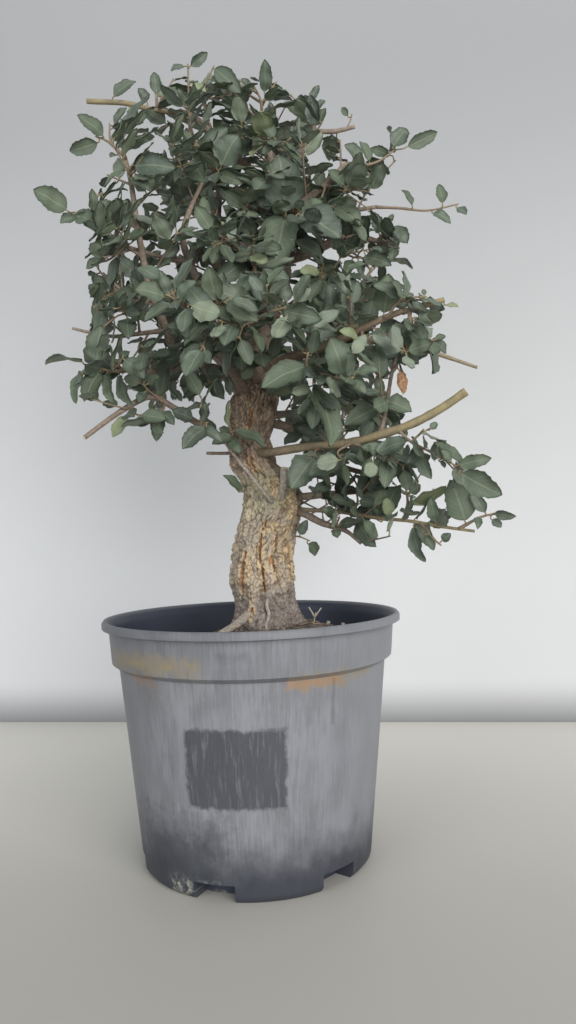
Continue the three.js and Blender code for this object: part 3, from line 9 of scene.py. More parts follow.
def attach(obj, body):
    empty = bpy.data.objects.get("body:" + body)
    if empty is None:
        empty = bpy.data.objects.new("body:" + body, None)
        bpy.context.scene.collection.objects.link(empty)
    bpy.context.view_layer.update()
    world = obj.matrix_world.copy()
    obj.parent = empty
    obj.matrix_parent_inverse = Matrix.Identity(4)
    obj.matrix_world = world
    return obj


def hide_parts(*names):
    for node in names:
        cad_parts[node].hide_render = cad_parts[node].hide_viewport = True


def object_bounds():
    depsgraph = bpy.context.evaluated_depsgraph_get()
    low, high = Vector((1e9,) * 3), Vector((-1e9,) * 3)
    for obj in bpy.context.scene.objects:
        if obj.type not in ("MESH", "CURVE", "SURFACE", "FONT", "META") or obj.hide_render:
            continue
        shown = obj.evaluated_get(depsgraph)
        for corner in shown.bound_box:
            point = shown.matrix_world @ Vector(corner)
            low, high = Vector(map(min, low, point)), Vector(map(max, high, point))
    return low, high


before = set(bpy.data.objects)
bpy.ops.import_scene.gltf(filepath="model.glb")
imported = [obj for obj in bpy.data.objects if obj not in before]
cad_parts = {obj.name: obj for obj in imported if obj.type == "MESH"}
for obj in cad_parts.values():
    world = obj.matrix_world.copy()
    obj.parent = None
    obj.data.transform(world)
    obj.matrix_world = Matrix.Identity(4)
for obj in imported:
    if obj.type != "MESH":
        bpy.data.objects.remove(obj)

bl_info = {
    "name": "Cork Oak Bonsai",
    "version": (1, 0, 0),
    "blender": (4, 5, 0),
    "location": "View3D > Sidebar > Bonsai",
    "description": "Bark, leaves, soil and a weathered nursery pot around the solids of a bonsai",
    "category": "Object",
}

CAD_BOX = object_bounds()
MM = 0.001
UP = np.array([0.0, 0.0, 1.0])
FRONT = np.array([0.0, -1.0, 0.0])

# Sizes that the solids share, in millimetres
RIM_RADIUS = 130.0
POT_HEIGHT = 208.0
BASE_RADIUS = 99.0
NOTCH_COUNT = 6
NOTCH_HEIGHT = 14.0
NOTCH_HALF_ANGLE = 9.7
NOTCH_FIRST_ANGLE = 39.6
NOTCH_INNER_RADIUS = 82.0
SOIL_EDGE_LEVEL = 166.0
SOIL_MOUND_HEIGHT = 31.0
SOIL_MOUND_CENTRE = (26.0, -5.0)
SOIL_MOUND_SPREAD = 85.0
TREE_AXIS = np.array([20.0, 5.0, 460.0])

POT_OUTSIDE = [
    (0, 0), (BASE_RADIUS - 3, 0), (BASE_RADIUS, 3.5), (116, 168.5), (121.8, 172.5), (124.2, 200.5),
    (RIM_RADIUS, 201.8), (RIM_RADIUS, 206), (128.5, POT_HEIGHT),
]
POT_INSIDE = [
    (126.2, POT_HEIGHT), (121.8, 202), (119.4, 173.5), (113.6, 168.5), (BASE_RADIUS - 4, 2.4), (0, 2.4),
]

# The trunk from below the soil to the fork: height, centre x, centre y, radius
TRUNK_SECTIONS = [
    (152, 13, 1, 21), (188, 13, 1, 26.2), (201, 13, 0, 27.6), (209, 12.6, 0, 26.6), (220, 12, 0, 25.4),
    (236, 10.4, 0, 26.2), (256, 11.6, 0, 25.4), (278, 14.5, 0, 24.6), (301, 20, -1, 25.2), (317, 20.2, 0, 24),
    (328, 15, 0, 21.8), (340, 6, 0, 19.8), (364, 2.6, 0, 16), (384, 6, 0, 19.6), (401, 8, 0, 19.2),
    (409, 8.6, 1, 15),
]
RIDGE_DEPTH = 0.055

FULL_TURN = 2 * math.pi
# Limbs and larger twigs: start radius, end radius, path
LIMBS = {
    "leader": (13, 2.2, [(7, 0, 400), (16, 8, 445), (27, 14, 493), (38, 10, 527), (39, 6, 559),
        (32, 4, 605), (22, 2, 641), (22, 0, 661)]),
    "left_low": (6.5, 2.4, [(0, -4, 398), (-15, -16, 417), (-36, -30, 422), (-56, -46, 420),
        (-75, -62, 413), (-93, -74, 411)]),
    "left_inner": (6, 1.6, [(4, -6, 411), (-10, -24, 447), (-24, -40, 475), (-36, -48, 489),
        (-43, -52, 505), (-48, -54, 523), (-43, -56, 544), (-30, -54, 573)]),
    "centre_left": (6, 1.8, [(16, 8, 444), (-7, 0, 475), (-22, -12, 511), (-21, -18, 550), (-18, -24, 580),
        (-22, -32, 592), (-31, -36, 603), (-41, -40, 616)]),
    "top_left": (5, 2.2, [(34, 4, 591), (5, -6, 609), (-21, -14, 631), (-36, -24, 641), (-50, -30, 645)]),
    "left_stem": (4, 1.8, [(-56, -46, 420), (-63, -58, 447), (-74, -68, 475), (-79, -74, 503),
        (-83, -78, 534), (-86, -80, 561), (-90, -82, 579)]),
    "left_bare": (3.6, 1.8, [(0, -6, 354), (-13, -16, 357), (-28, -30, 366), (-47, -46, 376),
        (-66, -58, 388), (-78, -66, 391), (-99, -80, 377), (-124, -92, 356)]),
    "left_twig": (2.2, 1.1, [(-63, -58, 447), (-84, -64, 443), (-103, -68, 440), (-119, -70, 442),
        (-136, -72, 446)]),
    "left_mid": (2.6, 1.0, [(-74, -68, 475), (-80, -70, 466), (-97, -74, 476), (-110, -78, 488)]),
    "left_span": (2.6, 1.2, [(-43, -52, 505), (-60, -58, 506), (-76, -66, 508), (-89, -74, 510)]),
    "front_left": (5, 2.4, [(0, -8, 404), (-11, -40, 417), (-23, -74, 429), (-31, -96, 438)]),
    "front_centre": (4.5, 2.0, [(10, -12, 414), (1, -50, 430), (-2, -84, 437), (9, -108, 439)]),
    "front_right": (5, 3, [(15, -8, 408), (26, -30, 410), (37, -56, 409)]),
    "right_front": (5.5, 2.3, [(15, 2, 424), (39, -24, 430), (63, -54, 431), (85, -74, 436),
        (103, -90, 442), (124, -100, 448)]),
    "cut_branch": (3.8, 3.3, [(4, -8, 350), (21, -30, 348), (49, -54, 349), (82, -78, 349), (104, -92, 353),
        (126, -102, 359), (147, -110, 369), (166, -116, 381)]),
    "right_stem": (2.0, 1.3, [(104, -92, 353), (109, -94, 373), (113, -96, 396), (118, -98, 416)]),
    "right_bare": (3.2, 1.2, [(85, -74, 436), (108, -80, 429), (131, -86, 423), (153, -92, 415),
        (181, -98, 403)]),
    "right_upper": (5, 2.0, [(39, 6, 559), (44, -24, 558), (53, -44, 558), (72, -54, 569), (89, -60, 584)]),
    "right_mid": (5, 2.0, [(38, 10, 527), (64, 6, 534), (88, 0, 543), (109, -4, 543), (132, -8, 535)]),
    "right_level": (4, 1.6, [(36, 8, 546), (65, 6, 558), (90, 0, 567), (122, -4, 571)]),
    "right_top": (3.6, 1.7, [(31, 4, 611), (48, -4, 616), (60, -10, 624), (67, -14, 634), (85, -18, 633),
        (103, -22, 635)]),
    "twig_front": (2.8, 1.8, [(31, 12, 506), (19, -14, 507), (9, -36, 509)]),
    "right_low": (4.0, 1.6, [(21, 2, 311), (45, -10, 310), (84, -24, 312), (127, -40, 314)]),
    "right_dark": (4.4, 1.5, [(19, 2, 301), (45, -12, 296), (63, -26, 286), (81, -38, 279),
        (93, -46, 268)]),
    "inner_right": (4.5, 1.8, [(9, 2, 381), (47, -8, 368), (63, -22, 345), (83, -32, 333),
        (113, -44, 323)]),
    "dead_twig": (1.8, 1.2, [(24, -20, 300), (15, -34, 311), (2, -38, 328), (-13, -38, 348),
        (-21, -38, 361)]),
    "cut_stub": (3.8, 3.2, [(26, -18, 302), (30, -28, 318), (31, -33, 334)]),
    "side_stub": (1.6, 1.4, [(-6, -10, 351), (-17, -20, 349), (-35, -24, 349)]),
    "top_stub": (2.8, 2.4, [(38, 2, 555), (41, -16, 564), (46, -26, 573)]),
    "back_left": (5, 2.2, [(2, 4, 402), (-20, 34, 438), (-48, 66, 474), (-72, 92, 508)]),
    "back_right": (5.4, 2.2, [(14, 6, 406), (42, 36, 438), (76, 62, 476), (106, 84, 514)]),
    "back_middle": (4.6, 2, [(28, 14, 497), (16, 50, 536), (2, 84, 572), (-8, 108, 604)]),
    "back_low": (4.6, 2, [(12, 8, 386), (36, 44, 392), (64, 78, 402), (88, 108, 416)]),
    "back_top": (3.4, 1.8, [(30, 5, 612), (32, 34, 640), (26, 58, 668)]),
}
# Leafy shoots of each spray: start radius, end radius, main path and side paths
SHOOTS = {
    "top_tip": (1.5, 0.8, [[(-41, -40, 616), (-41, -40, 638), (-41, -41, 661), (-41, -42, 687)]]),
    "top_left_stick": (2.1, 2.1, [[(-45, -28, 643), (-74, -40, 641), (-94, -47, 642), (-124, -55, 639)],
        [(-68, -38, 642), (-68, -44, 646), (-68, -50, 651)]]),
    "top_hook": (1.4, 0.8, [[(-21, -14, 631), (-28, -22, 648), (-28, -30, 665), (-19, -36, 681)],
        [(-28, -26, 657), (-13, -24, 661), (1, -22, 664)]]),
    "top_centre": (1.8, 0.9, [[(22, 0, 655), (21, -8, 667), (15, -12, 678)],
        [(22, -4, 664), (28, -8, 674), (35, -10, 681)], [(21, -8, 665), (10, 6, 681), (0, 14, 697)]]),
    "top_right_tuft": (1.6, 0.8, [[(67, -14, 634), (66, -18, 645), (61, -20, 660)]]),
    "right_stub_leaf": (0.8, 0.6, [[(94, -19, 633), (99, -21, 640), (101, -24, 648)]]),
    "right_crown": (1.6, 0.8, [[(89, -60, 584), (105, -56, 584), (119, -52, 590), (132, -50, 600)],
        [(101, -57, 583), (116, -46, 578), (138, -34, 601)]]),
    "right_level_tip": (1.6, 1.1, [[(122, -4, 571), (144, -8, 568), (168, -12, 564), (195, -16, 568)]]),
    "right_mid_tip": (1.5, 0.8, [[(121, -6, 539), (130, -10, 546), (132, -12, 554)],
        [(128, -8, 543), (140, -12, 532), (144, -10, 529)]]),
    "right_inner": (1.5, 0.8, [[(88, 0, 543), (96, -14, 523), (112, -24, 517)]]),
    "big_leaf_right": (1.5, 0.9,
        [[(107, -92, 444), (112, -100, 444), (117, -106, 451), (129, -110, 455), (142, -112, 455)]]),
    "right_front_end": (2.4, 2.1, [[(123, -99, 447), (141, -108, 450), (155, -112, 453)],
        [(129, -102, 448), (127, -107, 439), (127, -110, 429)]]),
    "right_bare_tuft": (1.4, 0.8, [[(131, -86, 423), (140, -92, 425), (150, -96, 426)]]),
    "right_stem_tip": (1.2, 0.8, [[(118, -98, 416), (123, -102, 418), (125, -106, 410)],
        [(113, -96, 396), (121, -92, 386), (125, -100, 400)]]),
    "cut_branch_tuft": (1.6, 0.9, [[(83, -80, 348), (97, -94, 342), (112, -104, 333)],
        [(74, -74, 348), (71, -84, 341), (76, -92, 332)]]),
    "front_low_leaf": (1.2, 0.8, [[(61, -62, 349), (55, -74, 344), (52, -82, 339)]]),
    "cut_branch_shoot": (1.4, 0.9, [[(117, -98, 356), (124, -106, 346), (139, -112, 336), (161, -118, 322)],
        [(126, -106, 345), (132, -108, 351), (140, -106, 355)]]),
    "cut_branch_leaf": (1.0, 0.7, [[(109, -94, 373), (103, -100, 376), (106, -104, 381)]]),
    "lower_right_branch": (2.1, 1.2, [[(19, 4, 306), (45, -12, 299), (78, -34, 295), (104, -52, 289),
        (131, -66, 285), (153, -76, 280), (180, -86, 275)],
        [(166, -82, 278), (184, -90, 287), (202, -96, 289)],
        [(138, -70, 283), (149, -78, 268), (158, -84, 260)],
        [(126, -64, 286), (128, -72, 300), (125, -78, 316)],
        [(87, -40, 293), (90, -54, 302), (88, -62, 310)]]),
    "right_low_tuft": (1.4, 0.8, [[(96, -30, 312), (105, -42, 319), (110, -50, 329)],
        [(71, -20, 310), (63, -32, 323), (69, -40, 331)]]),
    "right_dark_tuft": (1.3, 0.8, [[(69, -32, 282), (73, -44, 285), (75, -52, 291)]]),
    "inner_right_tuft": (1.4, 0.8, [[(63, -22, 345), (75, -30, 352), (88, -36, 365)],
        [(75, -30, 352), (64, -34, 365), (61, -36, 377)]]),
    "left_crown": (1.7, 1.0, [[(-90, -82, 579), (-102, -86, 589), (-111, -90, 591), (-129, -94, 595)],
        [(-89, -82, 576), (-95, -76, 587), (-103, -72, 599), (-104, -70, 615)]]),
    "left_crown_leaves": (1.3, 0.8, [[(-86, -80, 560), (-86, -90, 562), (-82, -98, 565)]]),
    "left_arm": (1.7, 0.9, [[(-80, -75, 515), (-97, -84, 522), (-112, -92, 526), (-127, -98, 528)],
        [(-110, -91, 526), (-115, -86, 540), (-107, -80, 553)]]),
    "left_upper_side": (1.4, 0.8, [[(-79, -74, 503), (-92, -84, 506), (-106, -90, 507)],
        [(-92, -84, 506), (-101, -86, 497), (-108, -88, 493)]]),
    "left_mid_tip": (1.3, 0.7, [[(-97, -74, 476), (-105, -84, 468), (-112, -90, 463)],
        [(-109, -78, 486), (-115, -72, 494), (-117, -66, 504)]]),
    "left_low_twig": (1.2, 0.7, [[(-84, -64, 443), (-85, -76, 454), (-96, -86, 452), (-107, -94, 441)]]),
    "left_cluster": (1.8, 0.8, [[(-93, -74, 411), (-105, -84, 409), (-113, -90, 411), (-124, -96, 413)],
        [(-104, -83, 409), (-97, -92, 412), (-92, -98, 418)]]),
    "left_bare_leaf": (1.1, 0.7, [[(-89, -72, 385), (-91, -78, 379), (-93, -82, 375)]]),
    "left_bare_tuft": (1.3, 0.8, [[(-66, -58, 388), (-67, -66, 380), (-75, -72, 376)],
        [(-78, -66, 391), (-79, -74, 397), (-81, -78, 401)]]),
    "left_bare_front": (1.4, 0.8, [[(-47, -46, 376), (-40, -56, 370), (-31, -62, 370)]]),
    "trunk_front_tuft": (1.2, 0.7, [[(-6, -16, 357), (-11, -34, 360), (-14, -46, 365)]]),
    "trunk_left_tuft": (1.3, 0.9, [[(3, -4, 300), (-2, -16, 308), (-4, -20, 318)],
        [(-2, -16, 309), (-8, -22, 301), (-10, -24, 297)],
        [(-4, -19, 316), (-9, -22, 315), (-15, -24, 313)]]),
    "trunk_right_tuft": (1.0, 0.7, [[(31, -2, 276), (43, -13, 275), (52, -20, 271)]]),
    "front_left_tip": (2.0, 1.2, [[(-31, -96, 438), (-42, -116, 448), (-55, -132, 453)],
        [(-31, -96, 438), (-24, -110, 443), (-21, -118, 453)]]),
    "front_centre_tip": (1.7, 1.0, [[(9, -108, 439), (18, -116, 443), (36, -124, 446)],
        [(9, -108, 439), (0, -116, 434), (-4, -120, 423)]]),
    "front_right_tip": (2.6, 1.6, [[(36, -52, 409), (51, -90, 404), (74, -118, 393), (80, -130, 392)],
        [(51, -92, 403), (47, -102, 406), (48, -112, 414)], [(52, -94, 402), (52, -104, 393)]]),
    "mid_front_tip": (1.8, 1.2, [[(10, -32, 508), (-1, -58, 511), (-8, -74, 513), (-23, -88, 516)],
        [(-1, -60, 510), (7, -74, 497), (11, -82, 486)]]),
    "big_front_leaf": (1.5, 0.9, [[(44, -24, 558), (38, -46, 549), (36, -60, 540)],
        [(53, -44, 558), (48, -58, 544), (45, -66, 537)]]),
    "front_left_upper": (1.5, 0.9, [[(-22, -32, 592), (-19, -50, 582), (-17, -62, 579)],
        [(-31, -36, 603), (-36, -52, 593), (-40, -60, 582)]]),
    "front_upper_mid": (1.4, 0.8, [[(33, 4, 576), (17, -24, 559), (4, -48, 553)],
        [(15, -26, 558), (20, -40, 564), (19, -48, 572)]]),
    "front_top": (1.5, 0.9, [[(22, 2, 641), (10, -24, 629), (2, -42, 625)],
        [(12, -20, 631), (25, -40, 614), (40, -50, 607)]]),
    "right_upper_tuft": (1.5, 0.8, [[(72, -54, 569), (85, -58, 562), (98, -60, 564)],
        [(60, -50, 561), (66, -54, 547), (80, -56, 548)]]),
    "right_mid_front": (1.5, 0.8, [[(64, 6, 534), (68, -26, 513), (67, -50, 492)],
        [(67, -30, 510), (77, -50, 496), (85, -60, 489)]]),
    "right_lower_front": (1.5, 0.8, [[(94, -82, 439), (92, -90, 426), (90, -94, 419)],
        [(82, -70, 435), (75, -80, 445), (68, -86, 450)]]),
}
# Sprays of the far side: start radius, end radius, side shoots set by rule, main path
BACK_SHOOTS = {
    "back_left_tip": (1.8, 1, 3, [(-70, 90, 506), (-92, 112, 524), (-112, 124, 540)]),
    "back_left_low": (1.8, 1, 3, [(-34, 50, 456), (-62, 74, 440), (-92, 96, 424)]),
    "back_left_high": (1.7, 1, 3, [(-6, 106, 600), (-34, 112, 622), (-58, 104, 642)]),
    "back_middle_tip": (1.8, 1, 3, [(2, 84, 572), (10, 118, 566), (22, 142, 556)]),
    "back_centre": (1.8, 1, 3, [(16, 50, 536), (0, 96, 506), (-4, 136, 490)]),
    "back_right_tip": (1.8, 1, 3, [(104, 83, 512), (124, 98, 536), (140, 106, 560)]),
    "back_right_low": (1.8, 1, 3, [(76, 62, 476), (108, 84, 462), (136, 98, 450)]),
    "back_low_tip": (1.8, 1, 3, [(88, 108, 416), (104, 130, 408), (128, 140, 398)]),
    "back_top_tip": (1.6, 0.9, 3, [(26, 58, 668), (34, 84, 672), (60, 100, 666)]),
}


# Repeatable noise
LATTICE_FACTORS = (374761393, 668265263, 1013904223, 144665)
LATTICE_STIR = 1274126177
DRAW_START = 2166136261
DRAW_FACTORS = (16777619, 2246822519)
WORD = 0xFFFFFFFF
HALF_WORD = 0xFFFF
CELL_MARGIN = 0.1


def lattice(*place_and_seed):
    """Repeatable numbers from 0 to 1, one for each whole-number place."""
    mixed = sum(value * factor for value, factor in zip(place_and_seed, LATTICE_FACTORS)) & WORD
    mixed = ((mixed ^ (mixed >> 13)) * LATTICE_STIR) & WORD
    return ((mixed ^ (mixed >> 16)) & HALF_WORD) / HALF_WORD


def draw(*keys):
    """The same repeatable number from 0 to 1 that the solids' growth rules use."""
    mixed = DRAW_START
    for key in keys:
        mixed = ((mixed ^ (key & WORD)) * DRAW_FACTORS[0]) & WORD
        mixed = ((mixed ^ (mixed >> 15)) * DRAW_FACTORS[1]) & WORD
        mixed = mixed ^ (mixed >> 13)
    return mixed / (WORD + 1)


def noise(points, size, seed=0):
    """Smooth noise from -1 to 1 with features about size millimetres across."""
    scaled = np.asarray(points, float) / size
    cell = np.floor(scaled).astype(np.int64)
    part = scaled - cell
    part = part * part * (3 - 2 * part)
    total = np.zeros(len(scaled))
    for corner in np.ndindex(2, 2, 2):
        weight = np.prod([part[:, k] if corner[k] else 1 - part[:, k] for k in range(3)], axis=0)
        total += weight * lattice(*(cell[:, k] + corner[k] for k in range(3)), seed)
    return total * 2 - 1


def cells(u, v, columns, seed):
    """Irregular cells on a surface that wraps every columns cells in u.

    Returns the distance to the nearest crack, 0 in the crack, and a number of its own for each cell."""
    column, row = np.floor(u).astype(np.int64), np.floor(v).astype(np.int64)
    first, second, own = np.full(len(u), np.inf), np.full(len(u), np.inf), np.zeros(len(u))
    for step_u, step_v in np.ndindex(3, 3):
        here_u, here_v = column + step_u - 1, row + step_v - 1
        drawn = [lattice(here_u % columns, here_v, number, seed) for number in range(3)]
        gap = np.hypot(here_u + CELL_MARGIN + (1 - 2 * CELL_MARGIN) * drawn[0] - u,
                       here_v + CELL_MARGIN + (1 - 2 * CELL_MARGIN) * drawn[1] - v)
        nearer = gap < first
        second = np.where(nearer, first, np.minimum(second, gap))
        own = np.where(nearer, drawn[2], own)
        first = np.minimum(first, gap)
    return second - first, own


def smoothstep(low, high, value):
    share = np.clip((value - low) / (high - low), 0, 1)
    return share * share * (3 - 2 * share)


def unit(vectors):
    vectors = np.asarray(vectors, float)
    return vectors / np.maximum(np.linalg.norm(vectors, axis=-1, keepdims=True), 1e-9)


# Meshes
UV_LENGTH = 20
KNOB_SIZE = 5.0


def tint_layer(mesh, name, colors):
    """A colour for each vertex, read by the materials."""
    layer = mesh.color_attributes.get(name) or mesh.color_attributes.new(name, "FLOAT_COLOR", "POINT")
    filled = np.ones((len(mesh.vertices), 4), np.float32)
    filled[:, :colors.shape[1]] = colors
    layer.data.foreach_set("color", filled.ravel())


def new_piece(name, points, faces, materials, slots=None, uv=None, tint=None, smooth=True):
    """An object from points in millimetres, faces of any size and one value per point or face."""
    mesh = bpy.data.meshes.new(name)
    points = np.asarray(points, np.float32)
    sizes = np.array([len(face) for face in faces], np.int32)
    flat = np.concatenate(faces).astype(np.int32)
    mesh.vertices.add(len(points))
    mesh.vertices.foreach_set("co", (points * MM).ravel())
    mesh.loops.add(len(flat))
    mesh.loops.foreach_set("vertex_index", flat)
    mesh.polygons.add(len(sizes))
    mesh.polygons.foreach_set("loop_start", np.concatenate([[0], np.cumsum(sizes)[:-1]]).astype(np.int32))
    for finish in materials:
        mesh.materials.append(finish)
    if slots is not None:
        mesh.polygons.foreach_set("material_index", np.asarray(slots, np.int32))
    mesh.polygons.foreach_set("use_smooth", np.full(len(sizes), smooth))
    if uv is not None:
        layer = mesh.uv_layers.new(name="UVMap")
        layer.data.foreach_set("uv", np.asarray(uv, np.float32)[flat].ravel())
    mesh.update(calc_edges=True)
    mesh.validate()
    if tint is not None:
        tint_layer(mesh, "tint", np.asarray(tint, np.float32))
    piece = bpy.data.objects.new(name, mesh)
    bpy.context.scene.collection.objects.link(piece)
    return piece


def vertex_points(mesh):
    """A mesh's points in millimetres."""
    points = np.zeros(len(mesh.vertices) * 3, np.float32)
    mesh.vertices.foreach_get("co", points)
    return points.reshape(-1, 3) / MM


def settle(piece, slot, *nodes):
    """Fixes a piece to the object's one body and hides the solids that it stands for; the finish given as
    slot is not used.
    """
    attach(piece, "root")
    if nodes:
        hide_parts(*nodes)


def grid_faces(rows, columns, wrap=True):
    """Quads between rings of points, each ring holding columns points."""
    row = np.arange(rows - 1)[:, None]
    column = np.arange(columns if wrap else columns - 1)[None, :]
    a = row * columns + column
    b = row * columns + (column + 1) % columns
    return np.stack([a, b, b + columns, a + columns], -1).reshape(-1, 4)


def tube_faces(rows, sides):
    """Faces of a closed tube: its rings, and at each end a fan round a point that follows the rings."""
    end, last = rows * sides, (rows - 1) * sides
    fans = [face for side in range(sides) for face in (
        (end, (side + 1) % sides, side), (end + 1, last + side, last + (side + 1) % sides))]
    return [*grid_faces(rows, sides), *fans]


def ring_angles(count):
    return np.arange(count) * FULL_TURN / count


def level_ring(turn, radius, height=0):
    return np.stack([np.cos(turn) * radius, np.sin(turn) * radius, turn * 0 + height], -1)


def smooth_path(path, spacing):
    """Points about spacing millimetres apart on a smooth curve through the path's points."""
    path = np.asarray(path, float)
    padded = np.vstack([2 * path[0] - path[1], path, 2 * path[-1] - path[-2]])
    curve = []
    for before, start, end, after in zip(padded, padded[1:], padded[2:], padded[3:]):
        steps = max(int(np.linalg.norm(end - start) / spacing), 1)
        share = np.arange(steps)[:, None] / steps
        curve.append(0.5 * (2 * start + (end - before) * share
                            + (2 * before - 5 * start + 4 * end - after) * share ** 2
                            + (3 * start - before - 3 * end + after) * share ** 3))
    curve.append(path[-1:])
    return np.vstack(curve)


def tube_points(curve, radii, sides):
    """Rings of points round a curve, without twist."""
    direction = unit(np.gradient(curve, axis=0))
    across = np.array([1.0, 0, 0]) if abs(direction[0][2]) > 0.8 else UP
    angle, rings = ring_angles(sides), []
    for point, along, radius in zip(curve, direction, radii):
        across = unit(across - along * (across @ along))
        side = np.cross(along, across)
        rings.append(point + radius * (np.cos(angle)[:, None] * across + np.sin(angle)[:, None] * side))
    return np.array(rings)


class Heap:
    """Collects parts of one piece: points, faces, slots, UVs and tints."""

    def __init__(self):
        self.points, self.faces, self.slots, self.uv, self.tint = [], [], [], [], []
        self.count = 0

    def add(self, points, faces, slot=0, uv=None, tint=(1, 1, 1)):
        points = np.asarray(points, float).reshape(-1, 3)
        self.points.append(points)
        self.faces.extend((np.asarray(face) + self.count for face in faces))
        self.slots.extend([slot] * len(faces) if np.isscalar(slot) else slot)
        self.uv.append(np.zeros((len(points), 2)) if uv is None else np.asarray(uv, float))
        self.tint.append(np.broadcast_to(np.asarray(tint, float), (len(points), 3)))
        self.count += len(points)

    def piece(self, name, materials, smooth=True):
        return new_piece(name, np.vstack(self.points), self.faces, materials, self.slots,
                         np.vstack(self.uv), np.vstack(self.tint), smooth)


def add_tube(heap, path, start_radius, end_radius, sides, spacing, slot=0, tint=(1, 1, 1), knobs=0.08, seed=0,
             end_tint=None):
    """A round twig along a path, closed at both ends, with slight knobs."""
    curve = smooth_path(path, spacing)
    share = np.linspace(0, 1, len(curve))
    radii = (start_radius + (end_radius - start_radius) * share) * (1 + knobs * noise(curve, KNOB_SIZE, seed))
    rings = tube_points(curve, radii, sides)
    points = np.vstack([rings.reshape(-1, 3), curve[:1], curve[-1:]])
    length = np.concatenate([[0], np.cumsum(np.linalg.norm(np.diff(curve, axis=0), axis=1))])
    around = np.append(np.tile(np.arange(sides) / sides, len(curve)), (0, 0))
    uv = np.stack([around, np.append(np.repeat(length, sides), (0, length[-1])) / UV_LENGTH], -1)
    mixed = np.append(np.repeat(share, sides), (0, 1))[:, None]
    tints = np.array(tint) * (1 - mixed) + np.array(end_tint or tint) * mixed
    heap.add(points, tube_faces(len(curve), sides), slot, uv, tints)
    return curve
# Trunk and limbs
TRUNK_ROWS = 310
TRUNK_COLUMNS = 250
TRUNK_LOW = 184.0
LUMP_COLUMNS = 34
CRUMB_COLUMNS = 66
LIP_HEIGHT = 0.9
FAR_FISSURES = 17

# Long cracks of the cork's near side: half width in mm, then degrees from the front and heights along each
FISSURES = [
    (1.5, [(-6, 290), (-9, 283), (-11, 275), (-10, 264), (-8, 256), (-3, 249), (1, 239), (2, 229)]),
    (3.4, [(-37, 264), (-43, 253), (-45, 242), (-43, 228)]),
    (1.7, [(36, 288), (40, 274), (50, 263), (57, 252), (60, 238)]),
    (1.6, [(11, 262), (14, 255), (21, 247), (26, 240), (31, 231)]),
    (1.2, [(20, 277), (22, 270), (19, 262)]),
    (1.3, [(-24, 229), (-26, 215), (-30, 202)]),
    (1.5, [(-21, 400), (-8, 386), (-3, 376), (-6, 366)]),
    (1.2, [(20, 398), (29, 382), (32, 368)]),
    (1.4, [(-65, 396), (-60, 385), (-54, 376)]),
    (2.0, [(-4, 347), (-8, 339), (-14, 331)]),
    (1.4, [(-42, 355), (-44, 346), (-40, 338)]),
    (1.3, [(48, 305), (52, 292), (55, 280)]),
]
# Pale raised patches of the near side: angle, height, half width and half height in mm
PALE_PATCHES = [(8, 284, 8, 5), (12, 318, 5.5, 10), (44, 302, 9, 14), (42, 262, 5, 10), (-30, 246, 3, 12)]
KNOT = (17, 295, 4.0, 6.0)
GREEN_PATCH = (12, 313, 9, 15)
# The bark's lumps, each as depth in mm, size in mm and seed
TRUNK_SWELLS = ((1.4, 20, 8), (0.8, 5.5, 9), (0.9, 2.4, 10))
# Where the trunk closes over among the limbs
CROWN_LEVEL, CROWN_HEIGHT = 405, 13.5
UV_HEIGHT = 160


def trunk_shape(height):
    """Centre x, centre y and radius of the trunk at each height."""
    table = np.array(TRUNK_SECTIONS, float)
    return [np.interp(height, table[:, 0], table[:, k]) for k in (1, 2, 3)]


def far_fissures():
    """Cracks round the sides and back, where the near side's own list ends."""
    found = []
    for number in range(FAR_FISSURES):
        angle = 75 + 210 * ((number * 0.618) % 1)
        top = 232 + 165 * draw(number, 71)
        length = 16 + 34 * draw(number, 72)
        sway = 16 * (draw(number, 73) - 0.5)
        path = [(angle, top), (angle + sway, top - length / 2), (angle + sway * 0.4, top - length)]
        found.append((1.1 + 1.3 * draw(number, 74), path))
    return found


def turn_from(angle, middle):
    """How far round each angle lies from another one, from minus to plus half a turn."""
    return (angle - middle + math.pi) % FULL_TURN - math.pi


def fissure_masks(angle, height, radius, rough):
    """How far each place lies inside the long cracks, and on the raised lips beside them, 0 to 1."""
    inside, lips = np.zeros(len(angle)), np.zeros(len(angle))
    for half, path in FISSURES + far_fissures():
        path = np.array(path, float)[::-1]
        low, high = path[0, 1], path[-1, 1]
        off = turn_from(angle, np.radians(np.interp(height, path[:, 1], path[:, 0])))
        share = np.clip((height - low) / (high - low), 0, 1)
        width = half * (0.25 + 0.9 * np.sqrt(np.clip(4 * share * (1 - share), 0, 1)))
        beyond = np.maximum(np.maximum(low - height, height - high), 0)
        gap = (np.hypot(off * radius, beyond) + 2.1 * rough) / width
        inside = np.maximum(inside, 1 - smoothstep(0.1, 0.9, gap))
        lips = np.maximum(lips, 1 - smoothstep(1.1, 2.9, gap))
    return inside, np.clip(lips - inside, 0, 1)


def patch_mask(angle, height, radius, rough, spot):
    """A ragged oval patch on the trunk, 0 to 1."""
    middle, level, half_width, half_height = spot
    off = turn_from(angle, math.radians(middle)) * radius
    gap = np.hypot(off / half_width, (height - level) / half_height) + 0.28 * rough
    return 1 - smoothstep(0.7, 1.15, gap)


def lump_cracks(angle, height, columns, tall, shift, seed):
    """Thin cracks between irregular lumps of cork, and each lump's own number."""
    around = (angle / FULL_TURN * columns + shift) % columns
    return cells(around, height / tall + 0.4 * shift, columns, seed)


